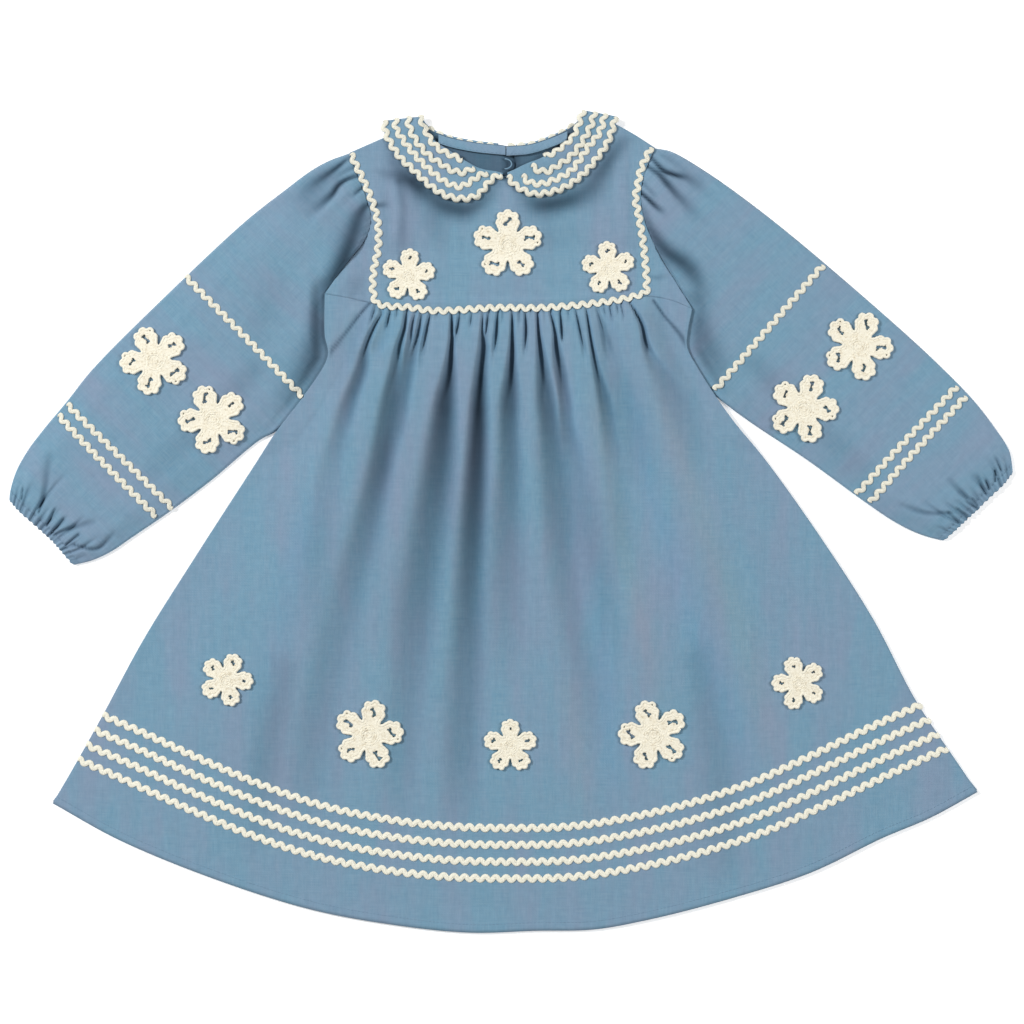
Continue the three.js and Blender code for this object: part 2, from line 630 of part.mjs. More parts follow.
// Rows round the sleeves, from the outer edge to the inner one
const sleeveRows = {
  left: [
    [[-261, 196.5], [-215, 150], [-170.5, 104]],
    [[-355.5, 94], [-313, 52.5], [-271, 11]],
    [[-362.5, 85.5], [-323.5, 44.5], [-283.5, 4]],
  ],
  right: [
    [[250, 205.5], [207, 156], [165.5, 108]],
    [[357, 108.5], [308.5, 57.5], [277.5, 23]],
    [[364, 100.5], [318, 51], [287, 15]],
  ],
};

// Rows over the hem: the top one as a line, and the others set off from it
const hemRow = [
  [-323.5, -156.5], [-288.8, -171.6], [-240.8, -193.2], [-192.8, -213.2], [-144.8, -228.8], [-96.8, -238.4],
  [-48.8, -243.8], [0, -245.2], [48, -243.8], [95.2, -236.6], [143.2, -225.2], [191.2, -209.2], [239.2, -187.6],
  [287.2, -164.8], [325, -148],
];
const hemRowSpacing = 13.5;
const hemRowCount = 4;
const hemRowGain = 1.2;

function hemBraid(row, heightAt) {
  const gain = hemRowGain * row;
  const [first, last] = [hemRow[0], hemRow.at(-1)];
  const start = [first[0] - gain, first[1] + gain / 2];
  const end = [last[0] + gain, last[1] + gain / 2];
  const points = [start, ...hemRow.slice(1, -1), end];
  braidOver(`braid_hem_${row + 1}`, points, heightAt, -row * hemRowSpacing);
}

// Crochet flowers as [name, centre x, centre y, tip radius, turn of the first petal in degrees,
// cloth that it lies on]
const flowers = [
  ['flower_yoke_centre', -2.6, 221.2, bigFlower, 90, 'yoke'],
  ['flower_yoke_left', -82, 196.6, smallFlower, 86, 'yoke'],
  ['flower_yoke_right', 77.9, 202.4, smallFlower, 94, 'yoke'],
  ['flower_sleeve_left_upper', -284.6, 128.8, bigFlower, 41, 'left'],
  ['flower_sleeve_left_lower', -237.9, 81.7, bigFlower, 39, 'left'],
  ['flower_sleeve_right_upper', 277.2, 140.3, bigFlower, 68, 'right'],
  ['flower_sleeve_right_lower', 233.8, 90.5, bigFlower, 70, 'right'],
  ['flower_skirt_far_left', -227.4, -126.2, smallFlower, 68, 'skirt'],
  ['flower_skirt_left', -113.9, -170.2, bigFlower, 77, 'skirt'],
  ['flower_skirt_centre', -0.6, -179.4, smallFlower, 90, 'skirt'],
  ['flower_skirt_right', 113.7, -170.4, bigFlower, 34, 'skirt'],
  ['flower_skirt_far_right', 229.8, -129, smallFlower, 36, 'skirt'],
];
const petals = 5;

// A petal's outline, as [degrees from its middle line, share of the tip radius]
const petalOutline = [[-36, 0.42], [-28, 0.76], [-19, 0.96], [0, 1], [19, 0.96], [28, 0.76]];

function flower([name, x, y, radius, turn], heightAt) {
  const outline = [];
  for (let petal = 0; petal < petals; petal++) {
    for (const [degrees, share] of petalOutline) {
      const angle = THREE.MathUtils.degToRad(turn + (360 / petals) * petal + degrees);
      const away = radius * share;
      outline.push(new THREE.Vector3(x + away * Math.cos(angle), y + away * Math.sin(angle), 0));
    }
  }
  const centre = new THREE.Vector3(x, y, heightAt(x, y));
  for (const point of outline) point.z = heightAt(point.x, point.y);
  const count = outline.length;
  let lift = 0;
  for (let i = 0; i < count; i++) {
    for (const toA of spaced(8)) {
      for (const toB of spaced(8)) {
        if (toA + toB > 1) continue;
        const spot = centre.clone().multiplyScalar(1 - toA - toB);
        spot.addScaledVector(outline[i], toA).addScaledVector(outline[(i + 1) % count], toB);
        lift = Math.max(lift, heightAt(spot.x, spot.y) - spot.z);
      }
    }
  }
  const up = new THREE.Vector3(0, 0, lift + gap);
  const under = outline.map((point) => point.clone().add(up));
  const rim = under.map((point) => point.clone().setZ(point.z + flowerEdge));
  const round = under.map((point) => point.clone().lerp(centre.clone().add(up), 0.22));
  for (const point of round) point.z += flowerRound;
  const points = [...under, ...rim, ...round, centre.clone().add(up)];
  points.push(points.at(-1).clone().setZ(points.at(-1).z + flowerEye));
  const faces = [];
  for (let i = 0; i < count; i++) {
    const next = (i + 1) % count;
    faces.push([3 * count, next, i], [i, next, count + next], [i, count + next, count + i]);
    faces.push([count + i, count + next, 2 * count + next], [count + i, 2 * count + next, 2 * count + i]);
    faces.push([2 * count + i, 2 * count + next, 3 * count + 1]);
  }
  add(name, solid(points, faces), cotton);
}

// Neck binding: two strips inside the back neckline, ending at the centre back
function neckBinding() {
  const width = 7.2;
  const rest = liftOverCollar + cloth + gap;
  const strips = {
    left: [[-58, 309.6], [-49, 306.7], [-29, 302.7], [centreBack - gap, 300.2]],
    right: [[centreBack + gap, 299.7], [15, 301.2], [35, 307.7], [45, 312]],
  };
  for (const [side, points] of Object.entries(strips)) {
    const upper = edge({ points });
    const lower = edge({ points: shifted(points, 0, -width) });
    const plan = (u, v) => upper(u).lerp(lower(u), v);
    const over = (u, v) => plan(u, v).setZ(rest + cloth * 0.8);
    const under = (u, v) => plan(u, v).setZ(rest);
    add(`neck_binding_${side}`, wall(spaced(7), [0, 1], over, under), chambray);
  }
}

// The button at the top of the back opening lies under the back, and its loop shows inside it
function backFastening() {
  const buttonRadius = 4;
  const button = new THREE.CylinderGeometry(buttonRadius, buttonRadius, cloth, 20);
  button.rotateX(Math.PI / 2).translate(centreBack + 2, 296.5, cloth / 2);
  add('back_button', button, buttonFinish);

  const cord = 0.6;
  const loopTop = 290;
  const reach = { across: 5.5, down: 4 };
  const rings = spaced(8, Math.PI / 2, -Math.PI / 2).map((angle) => {
    const middle = new THREE.Vector3(
      centreBack - 1 + reach.across * Math.cos(angle),
      loopTop - reach.down + reach.down * Math.sin(angle),
      liftOverCollar + cloth + gap + cord,
    );
    const outward = new THREE.Vector3(Math.cos(angle), Math.sin(angle), 0);
    return spaced(5, 0, (5 / 6) * 2 * Math.PI).map((turn) =>
      middle.clone().addScaledVector(outward, cord * Math.cos(turn)).setZ(middle.z + cord * Math.sin(turn)));
  });
  add('button_loop', joinRings(rings), chambray);
}

const frontYoke = yokeFront();
yokeBack();
const frontSkirt = skirtFront();
skirtBack();
const leftSleeve = sleeve('left');
const rightSleeve = sleeve('right');
collar('left');
collar('right');
neckBinding();
backFastening();

const heights = {
  yoke: heightOn(frontYoke, leftSleeve, rightSleeve),
  skirt: heightOn(frontSkirt),
  left: heightOn(leftSleeve),
  right: heightOn(rightSleeve),
};
braidOver('braid_yoke', yokeBraid, heights.yoke);
for (const side of ['left', 'right']) {
  for (let row = 0; row < collarRows.length; row++) collarBraid(side, row);
  sleeveRows[side].forEach((points, row) => {
    braidOver(`braid_sleeve_${side}_${row + 1}`, points, heights[side]);
  });
}
for (let row = 0; row < hemRowCount; row++) hemBraid(row, heights.skirt);
for (const row of flowers) flower(row, heights[row[5]]);

// The origin is under the middle of the whole dress
const box = new THREE.Box3().setFromObject(dress);
dress.position.set(-(box.min.x + box.max.x) / 2, -(box.min.y + box.max.y) / 2, -box.min.z);

export default dress;
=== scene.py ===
import math

import bpy
import numpy as np
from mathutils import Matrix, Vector
from mathutils.bvhtree import BVHTree


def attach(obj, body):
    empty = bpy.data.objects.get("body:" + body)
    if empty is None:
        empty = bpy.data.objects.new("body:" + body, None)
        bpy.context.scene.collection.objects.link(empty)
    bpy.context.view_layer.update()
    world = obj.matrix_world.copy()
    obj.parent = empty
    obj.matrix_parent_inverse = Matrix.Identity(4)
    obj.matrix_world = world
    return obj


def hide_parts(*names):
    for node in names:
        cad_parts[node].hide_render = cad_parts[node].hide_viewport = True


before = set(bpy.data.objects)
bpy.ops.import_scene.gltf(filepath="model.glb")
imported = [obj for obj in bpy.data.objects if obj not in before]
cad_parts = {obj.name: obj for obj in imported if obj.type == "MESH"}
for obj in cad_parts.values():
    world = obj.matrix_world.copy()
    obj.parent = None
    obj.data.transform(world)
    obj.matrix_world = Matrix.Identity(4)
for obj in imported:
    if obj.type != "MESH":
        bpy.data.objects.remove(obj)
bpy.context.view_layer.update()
mm = 0.001
seat = 0.101  # the frame's origin lies this far from the tables' one along Y
scene = bpy.context.scene
collection = scene.collection


# Curves, panels and meshes

def curveThrough(points, samples=40):
    # centripetal curve, with the same number of samples between each two points
    points = np.array(points, float)
    points = np.vstack([2 * points[0] - points[1], points, 2 * points[-1] - points[-2]])
    out = []
    for a, b, c, d in zip(points, points[1:], points[2:], points[3:]):
        t1 = np.linalg.norm(b - a) ** 0.5
        t2 = t1 + np.linalg.norm(c - b) ** 0.5
        t3 = t2 + np.linalg.norm(d - c) ** 0.5
        t = np.linspace(t1, t2, samples, endpoint=False)[:, None]
        ab = a + (b - a) * t / t1
        bc = b + (c - b) * (t - t1) / (t2 - t1)
        cd = c + (d - c) * (t - t2) / (t3 - t2)
        abc = ab + (bc - ab) * t / t2
        bcd = bc + (cd - bc) * (t - t1) / (t3 - t1)
        out.append(abc + (bcd - abc) * (t - t1) / (t2 - t1))
    out.append(points[-2][None])
    return np.vstack(out)


def lengthsOf(line):
    return np.concatenate([[0], np.cumsum(np.linalg.norm(np.diff(line, axis=0), axis=1))])


def along(line):
    # places on a line by share of its length
    share = lengthsOf(line)
    share = share / share[-1]
    return lambda s: np.stack([np.interp(s, share, line[:, k]) for k in range(line.shape[1])], -1)


def edgeOf(*stretches):
    # an edge through one list of points, or through several with the share of its length that each takes
    if len(stretches) == 1:
        stretches = [(1, stretches[0])]
    ends = np.cumsum([0] + [share for share, _ in stretches])
    parts = [along(curveThrough(points)) for _, points in stretches]

    def at(s):
        s = np.asarray(s, float)
        out = parts[0](s * 0)
        for part, low, high in zip(parts, ends, ends[1:]):
            inside = s >= low
            out[inside] = part(((s - low) / (high - low)).clip(0, 1))[inside]
        return out

    return at


def between(start, end, left, right, hold=1):
    # the plan of a panel between its four edges
    def plan(u, v):
        zero = np.zeros_like(v)
        t = v[..., None]
        leftBend = left(v) - (start(zero) * (1 - t) + end(zero) * t)
        rightBend = right(v) - (start(zero + 1) * (1 - t) + end(zero + 1) * t)
        bends = leftBend * ((1 - u) ** hold)[..., None] + rightBend * (u ** hold)[..., None]
        return start(u) * (1 - t) + end(u) * t + bends

    return plan


def gridOf(down, across):
    # v down and u across a panel, from counts or from lists of places
    places = [np.linspace(0, 1, n) if isinstance(n, int) else n for n in (down, across)]
    return np.meshgrid(*places, indexing="ij")


def smooth(value, low, high):
    t = ((value - low) / (high - low)).clip(0, 1)
    return t * t * (3 - 2 * t)


def unit(vectors):
    return vectors / np.maximum(np.linalg.norm(vectors, axis=-1, keepdims=True), 1e-9)


def graded(rows, place):
    rows = np.array(rows, float)
    return np.interp(place, rows[:, 0], rows[:, 1])


def moved(points, dx, dy):
    return [(x + dx, y + dy) for x, y in points]


def creased(xy, creases):
    # height that creases add, each a row of (x, y, half-width, height)
    total = np.zeros(xy.shape[:-1])
    for crease in creases:
        line = curveThrough(crease, 8)
        best = np.full(total.shape, 1e9)
        value = np.zeros(total.shape)
        for a, b in zip(line, line[1:]):
            step = b[:2] - a[:2]
            t = (((xy - a[:2]) @ step) / max(step @ step, 1e-9)).clip(0, 1)
            away = np.linalg.norm(xy - a[:2] - t[..., None] * step, axis=-1)
            width = a[2] + (b[2] - a[2]) * t
            height = a[3] + (b[3] - a[3]) * t
            nearer = away < best
            best = np.where(nearer, away, best)
            value = np.where(nearer, height * np.exp(-((away / width) ** 2)), value)
        total += value
    return total


def meshOf(name, points, quads, uv=None, material=None):
    # points in mm; the faces are turned outward by the sign of the volume
    points = np.array(points, float)
    quads = np.array(quads, int)
    a, b, c, d = (points[quads[:, k]] for k in range(4))
    volume = (a * np.cross(b, c)).sum() + (a * np.cross(c, d)).sum()
    if volume < 0:
        quads = quads[:, ::-1]
    mesh = bpy.data.meshes.new(name)
    mesh.vertices.add(len(points))
    mesh.vertices.foreach_set("co", ((points + (0, seat, 0)) * mm).astype(np.float32).ravel())
    mesh.loops.add(quads.size)
    mesh.loops.foreach_set("vertex_index", quads.astype(np.int32).ravel())
    mesh.polygons.add(len(quads))
    mesh.polygons.foreach_set("loop_start", np.arange(0, quads.size, 4, dtype=np.int32))
    mesh.polygons.foreach_set("use_smooth", np.ones(len(quads), bool))
    mesh.update(calc_edges=True)
    if uv is not None:
        layer = mesh.uv_layers.new(name="cloth")
        layer.data.foreach_set("uv", (np.array(uv)[quads.ravel()] * mm).astype(np.float32).ravel())
    if material:
        mesh.materials.append(material)
    obj = bpy.data.objects.new(name, mesh)
    collection.objects.link(obj)
    return obj


def indexOf(rows, columns, ring=False):
    # numbers of a grid's vertices; a ring has its first column once more
    index = np.arange(rows * columns).reshape(rows, columns)
    return np.hstack([index, index[:, :1]]) if ring else index


def quadsOf(index):
    return np.stack([index[:-1, :-1], index[1:, :-1], index[1:, 1:], index[:-1, 1:]], -1).reshape(-1, 4)


def tubeQuads(index):
    # the wall of a closed tube and flat faces over its two ends
    last = index.shape[1] - 2
    k = np.arange(last // 2)
    first, second = (
        np.stack([end[k], end[k + 1], end[last - 1 - k], end[last - k]], -1) for end in index[[0, -1]])
    return np.vstack([quadsOf(index), first, second[:, ::-1]])


def shellOf(name, top, thick, uv, material, ring=False, fold=None, shotSheen=None):
    # a cloth wall below a grid of points; a ring closes its columns into a tube; fold is painted shade, 1
    # deep in a fold, and the shot cloth's painted sheen is 1 where it is painted rosier and -1 where it is
    # painted bluer
    acrossTop = np.roll(top, -1, 1) - np.roll(top, 1, 1) if ring else np.gradient(top, axis=1)
    under = top - unit(np.cross(np.gradient(top, axis=0), acrossTop)) * thick
    points = np.vstack([top.reshape(-1, 3), under.reshape(-1, 3)])
    index = indexOf(*top.shape[:2], ring)
    other = index + len(points) // 2
    quads = [quadsOf(index), quadsOf(other)[:, ::-1]]
    for i, turn in ((0, 1), (-1, -1)):
        rim = np.stack([index[i, :-1], index[i, 1:], other[i, 1:], other[i, :-1]], -1)
        quads.append(rim[:, ::turn])
    if not ring:
        for j, turn in ((0, -1), (-1, 1)):
            rim = np.stack([index[:-1, j], index[1:, j], other[1:, j], other[:-1, j]], -1)
            quads.append(rim[:, ::turn])
    obj = meshOf(name, points, np.vstack(quads), np.vstack([uv.reshape(-1, 2)] * 2), material)
    for label, field in (("fold", fold), ("shotSheen", shotSheen)):
        if field is not None:
            attribute = obj.data.attributes.new(label, "FLOAT", "POINT")
            values = np.concatenate([field.clip(-1, 1).ravel(), np.zeros(field.size)])
            attribute.data.foreach_set("value", values.astype(np.float32))
    return obj


def grainOf(xy, degrees=0):
    # cloth coordinates that run along the grain
    angle = math.radians(degrees)
    turn = np.array([[math.cos(angle), -math.sin(angle)], [math.sin(angle), math.cos(angle)]])
    return xy @ turn


# Materials

def nodeTree(name):
    material = bpy.data.materials.new(name)
    material.use_nodes = True
    tree = material.node_tree
    return material, tree, tree.nodes["Principled BSDF"]


def plug(tree, socket, value):
    if isinstance(value, bpy.types.NodeSocket):
        tree.links.new(value, socket)
    else:
        socket.default_value = value


def put(tree, kind, values=None, output=0, **settings):
    node = tree.nodes.new(kind)
    for key, value in settings.items():
        setattr(node, key, value)
    for key, value in (values or {}).items():
        plug(tree, node.inputs[key], value)
    return node.outputs[output]


def calc(tree, operation, a, b=0.0):
    return put(tree, "ShaderNodeMath", {0: a, 1: b}, operation=operation)


def ranged(tree, value, low, high, toLow, toHigh):
    return put(tree, "ShaderNodeMapRange", {0: value, 1: low, 2: high, 3: toLow, 4: toHigh})


def noised(tree, vector, scale, detail=2.0, rough=0.5):
    values = {"Vector": vector, "Scale": scale, "Detail": detail, "Roughness": rough}
    return put(tree, "ShaderNodeTexNoise", values)


def mixed(tree, share, a, b, blend="MIX"):
    node = tree.nodes.new("ShaderNodeMix")
    node.data_type = "RGBA"
    node.blend_type = blend
    plug(tree, node.inputs[0], share)
    plug(tree, node.inputs[6], a)
    plug(tree, node.inputs[7], b)
    return node.outputs[2]


def stretched(tree, vector, x, y, z=1.0):
    return put(tree, "ShaderNodeVectorMath", {0: vector, 1: (x, y, z)}, operation="MULTIPLY")


def clothPlace(tree):
    uv = put(tree, "ShaderNodeUVMap", uv_map="cloth")
    x, y = (put(tree, "ShaderNodeSeparateXYZ", {0: uv}, k) for k in (0, 1))
    return uv, x, y


def objectPlace(tree):
    return put(tree, "ShaderNodeTexCoord", None, 3)


def finished(tree, shader, colour, rough, height, strength, distance, sheen=0.0):
    # colour, roughness and relief of a material
    plug(tree, shader.inputs["Base Color"], colour)
    plug(tree, shader.inputs["Roughness"], rough)
    shader.inputs["Sheen Weight"].default_value = sheen
    values = {"Strength": strength, "Distance": distance, "Height": height}
    plug(tree, shader.inputs["Normal"], put(tree, "ShaderNodeBump", values))


chambrayLook = {
    "warp": (0.106, 0.258, 0.386, 1),
    "weft": (0.226, 0.350, 0.440, 1),
    "rose": (0.236, 0.276, 0.390, 1),
    "threadsPerMetre": 1500,
    "rough": 0.88,
    "sheen": 0.22,
    "sheenTint": (0.75, 0.86, 1.0, 1),
    "foldShade": 0.07,  # what is left of the light deep in a fold
}


def chambrayMaterial(name):
    # plain weave with slubs and streaks along the threads and a rose cast in the warp
    look = chambrayLook
    material, tree, shader = nodeTree(name)
    uv, x, y = clothPlace(tree)
    turns = look["threadsPerMetre"] * math.pi
    warpWave = calc(tree, "SINE", calc(tree, "MULTIPLY", x, turns))
    weftWave = calc(tree, "SINE", calc(tree, "MULTIPLY", y, turns))
    weave = calc(tree, "MULTIPLY", warpWave, weftWave)
    warpSlub = noised(tree, stretched(tree, uv, 1400, 75), 1.0, 3.0, 0.6)
    weftSlub = noised(tree, stretched(tree, uv, 60, 1400), 1.0, 3.0, 0.6)
    slub = calc(tree, "ADD", warpSlub, weftSlub)
    mottle = noised(tree, uv, 160.0, 4.0, 0.7)
    share = calc(tree, "ADD", ranged(tree, weave, -1, 1, -0.3, 0.3), ranged(tree, slub, 0.7, 1.3, 0.28, 0.72))
    colour = mixed(tree, share, look["warp"], look["weft"])
    tint = ranged(tree, noised(tree, stretched(tree, uv, 26, 7), 1.0, 3.0, 0.6), 0.4, 0.68, 0.0, 0.6)
    colour = mixed(tree, tint, colour, look["rose"])
    light = ranged(tree, mottle, 0.25, 0.75, 0.94, 1.06)
    streak = noised(tree, stretched(tree, uv, 230, 7), 1.0, 3.0, 0.65)
    across = noised(tree, stretched(tree, uv, 9, 260), 1.0, 2.0, 0.6)
    patterns = [(slub, 0.7, 1.3, 0.03), (streak, 0.25, 0.75, 0.04), (across, 0.25, 0.75, 0.015)]
    for pattern, low, high, change in patterns:
        light = calc(tree, "MULTIPLY", light, ranged(tree, pattern, low, high, 1 - change, 1 + change))
    # painted shade: the fold attribute darkens the colour deep in folds and creases
    fold = put(tree, "ShaderNodeAttribute", None, 2, attribute_name="fold")
    light = calc(tree, "MULTIPLY", light, ranged(tree, fold, 0, 1, 1, look["foldShade"]))
    # the painted shade takes the red first and the blue last, and the shot cloth's painted sheen trades one
    # for the other
    shotSheen = put(tree, "ShaderNodeAttribute", None, 2, attribute_name="shotSheen")
    rosy = calc(tree, "MULTIPLY", calc(tree, "POWER", light, 1.12), ranged(tree, shotSheen, -1, 1, 0.91, 1.09))
    bluer = calc(tree, "MULTIPLY", calc(tree, "POWER", light, 0.92), ranged(tree, shotSheen, -1, 1, 1.05, 0.95))
    tinted = put(tree, "ShaderNodeCombineColor", {0: rosy, 1: light, 2: bluer})
    colour = mixed(tree, 1.0, colour, tinted, "MULTIPLY")
    rough = ranged(tree, mottle, 0.2, 0.8, look["rough"] - 0.06, look["rough"] + 0.06)
    relief = calc(tree, "ADD", calc(tree, "MULTIPLY", weave, 0.5), calc(tree, "MULTIPLY", slub, 0.9))
    finished(tree, shader, colour, rough, relief, 0.5, 0.0002, look["sheen"])
    shader.inputs["Sheen Roughness"].default_value = 0.45
    shader.inputs["Sheen Tint"].default_value = look["sheenTint"]
    shader.inputs["Specular IOR Level"].default_value = 0.25
    return material


trimLook = {
    "light": (0.890, 0.850, 0.715, 1),
    "deep": (0.800, 0.735, 0.575, 1),
    "crevice": (0.560, 0.470, 0.330, 1),
    "tape": (0.890, 0.872, 0.750, 1),
    "tapeDeep": (0.800, 0.765, 0.620, 1),
    "ribsPerMetre": 1150,
    "rough": 0.82,
}


def tapeMaterial(name, lift):
    # plaited tape: fine ribs run slantwise from both edges
    look = trimLook
    light, deep = (tuple(value * lift for value in look[tone][:3]) + (1,) for tone in ("tape", "tapeDeep"))
    material, tree, shader = nodeTree(name)
    uv, x, y = clothPlace(tree)
    turns = look["ribsPerMetre"] * 2 * math.pi
    slant = calc(tree, "ADD", x, calc(tree, "ABSOLUTE", y))
    ribs = calc(tree, "SINE", calc(tree, "MULTIPLY", slant, turns))
    fibre = noised(tree, stretched(tree, uv, 900, 900), 1.0, 3.0, 0.6)
    share = calc(tree, "ADD", ranged(tree, ribs, -1, 1, 0.0, 0.35), ranged(tree, fibre, 0.35, 0.7, 0.0, 0.5))
    relief = calc(tree, "ADD", ribs, fibre)
    finished(tree, shader, mixed(tree, share, light, deep), look["rough"], relief, 0.6, 0.0002, 0.2)
    return material


def yarnMaterial(name, depth):
    # crochet cotton, with shade between its loops where the depth is great
    look = trimLook
    material, tree, shader = nodeTree(name)
    place = objectPlace(tree)
    fibre = noised(tree, stretched(tree, place, 1500, 1500, 1500), 1.0, 3.0, 0.65)
    patch = ranged(tree, noised(tree, place, 260.0, 2.0), 0.4, 0.7, 0.0, 0.4)
    share = calc(tree, "ADD", ranged(tree, fibre, 0.35, 0.75, 0.0, 0.35), patch)
    share = calc(tree, "MULTIPLY", share, depth)
    # painted shade in the crevices between the loops, in spots
    creviceShade = noised(tree, place, 520.0, 2.0)
    creviceShade = calc(tree, "MULTIPLY", ranged(tree, creviceShade, 0.56, 0.72, 0.0, 0.6), min(depth, 1.0) ** 3)
    colour = mixed(tree, creviceShade, mixed(tree, share, look["light"], look["deep"]), look["crevice"])
    finished(tree, shader, colour, look["rough"], fibre, 0.7, 0.0003, 0.25)
    return material


def threadMaterial(name, colour):
    material, tree, shader = nodeTree(name)
    twist = noised(tree, stretched(tree, objectPlace(tree), 4000, 4000, 4000), 1.0)
    dark = tuple(0.6 * value for value in colour[:3]) + (1,)
    colour = mixed(tree, ranged(tree, twist, 0.35, 0.7, 0, 1), colour, dark)
    finished(tree, shader, colour, 0.7, twist, 0.5, 0.0001)
    return material


def buttonMaterial(name):
    material, tree, shader = nodeTree(name)
    cloud = noised(tree, objectPlace(tree), 500.0, 4.0, 0.6)
    colour = mixed(tree, ranged(tree, cloud, 0.35, 0.7, 0, 1), (0.82, 0.78, 0.66, 1), (0.7, 0.65, 0.52, 1))
    finished(tree, shader, colour, ranged(tree, cloud, 0.3, 0.7, 0.25, 0.4), cloud, 0.15, 0.0001)
    return material


chambray = chambrayMaterial("chambray")
tapeCotton = tapeMaterial("tapeCotton", 1.0)
# painted light: the hem's braid is the same tape made a tenth lighter, where the lamp lights it less
tapePale = tapeMaterial("tapePale", 1.1)
# the same crochet cotton twice: with much painted shade for the ground, inner cords and heart, and with
# little for the outer cord
yarnCotton = yarnMaterial("yarnCotton", 1.5)
yarnLessShaded = yarnMaterial("yarnLessShaded", 0.65)
blueThread = threadMaterial("blueThread", (0.16, 0.27, 0.38, 1))
buttonShell = buttonMaterial("buttonShell")
print("materials done")


# Edges of the cut, which neighbouring panels share

shoulder = {"left": (-129, 295), "right": (115, 299)}
neckPoint = {"left": (-73, 318), "right": (57, 322)}
underarm = {"left": (-149, 182), "right": (145, 170)}
hemCorner = {"left": (-367, -225.5), "right": (373.5, -216.5)}
centreBack = -4
yokeSeam = [
    underarm["left"], (-129, 178.5), (-111, 174.5), (-88, 171.2), (-61, 168), (-14, 169.6),
    (28, 170), (75, 174.4), (96, 178.3), (111, 180), (129, 176.5), underarm["right"],
]
armhole = {
    "left": [shoulder["left"], (-122, 276), (-116, 260), (-112, 243), (-114, 232), (-119, 222),
             (-128, 211), (-140, 195), underarm["left"]],
    "right": [shoulder["right"], (110, 287), (106.5, 277), (104, 264), (105, 249), (108, 237),
              (114, 223), (122, 208), (134, 188), underarm["right"]],
}
shoulderSeam = {
    "left": [shoulder["left"], (-97, 309), (-85, 314), neckPoint["left"]],
    "right": [neckPoint["right"], (70, 322), (81, 319), (98, 310), shoulder["right"]],
}
frontNeck = [
    neckPoint["left"], (-65, 306), (-46, 294), (-33, 285), (-20, 279.5), (-4, 276.5),
    (10, 283.5), (22, 288.5), (41, 298), (50, 307), neckPoint["right"],
]
sideSeam = {
    "left": [underarm["left"], (-149, 149), (-146.5, 132.5), (-166.5, 99.5), (-187, 73), (-208, 41),
             (-254.5, -31), (-294.5, -95), (-329, -159), (-356, -207), hemCorner["left"]],
    "right": [underarm["right"], (141.5, 152), (141, 139.5), (152, 118.5), (177.5, 81), (204, 49),
              (249.5, -15), (290.5, -79), (324, -143), (356, -191), hemCorner["right"]],
}
hem = [
    hemCorner["left"], (-313.5, -255), (-233.5, -287.5), (-160, -310.5), (-96, -322.5), (-33, -329),
    (20, -327.5), (66, -326.5), (111, -318.5), (175, -302), (240, -281), (297, -253.5), (336, -237),
    hemCorner["right"],
]
sideUpward = {
    "left": [(73, -187), (99.5, -166.5), (132.5, -146.5), (149, -149), (182, -149)],
    "right": [(101, 163), (118.5, 152), (139.5, 141), (152, 141.5), (170, 145)],
}


def insideSide(xy):
    x, y = xy[..., 0], xy[..., 1]
    return np.where(x < 0, x - graded(sideUpward["left"], y), graded(sideUpward["right"], y) - x)


def overArm(xy):
    # the body's sides lie over the sleeves below the underarm
    y = xy[..., 1]
    return 2.5 * (1 - smooth(insideSide(xy), 15, 36)) * smooth(y, 48, 72) * (1 - smooth(y, 190, 215))


def pressed(folds, u, v, width):
    # share of the loft that folds press away: rows (place down, place across, half-width in mm, share)
    left = np.ones_like(u)
    for fold in folds:
        rows = np.array(fold, float)
        at, wide, share = (np.interp(v, rows[:, 0], rows[:, k]) for k in (1, 2, 3))
        share = share * ((v >= rows[0, 0]) & (v <= rows[-1, 0]))
        aside = np.abs(u - at) * width / wide
        left *= 1 - share * np.exp(-(aside ** 1.8))
    return 1 - left


def pressedAt(folds, xy):
    # the same for folds that are given by rows (x, y, half-width, share) from the top down
    left = np.ones(xy.shape[:-1])
    for fold in folds:
        rows = curveThrough(fold, 10)[::-1]
        at, wide, share = (np.interp(xy[..., 1], rows[:, 1], rows[:, k]) for k in (0, 2, 3))
        aside = np.abs(xy[..., 0] - at) / np.maximum(wide, 0.5)
        left *= 1 - share.clip(0, 1) * np.exp(-(aside ** 2.6))
    return 1 - left


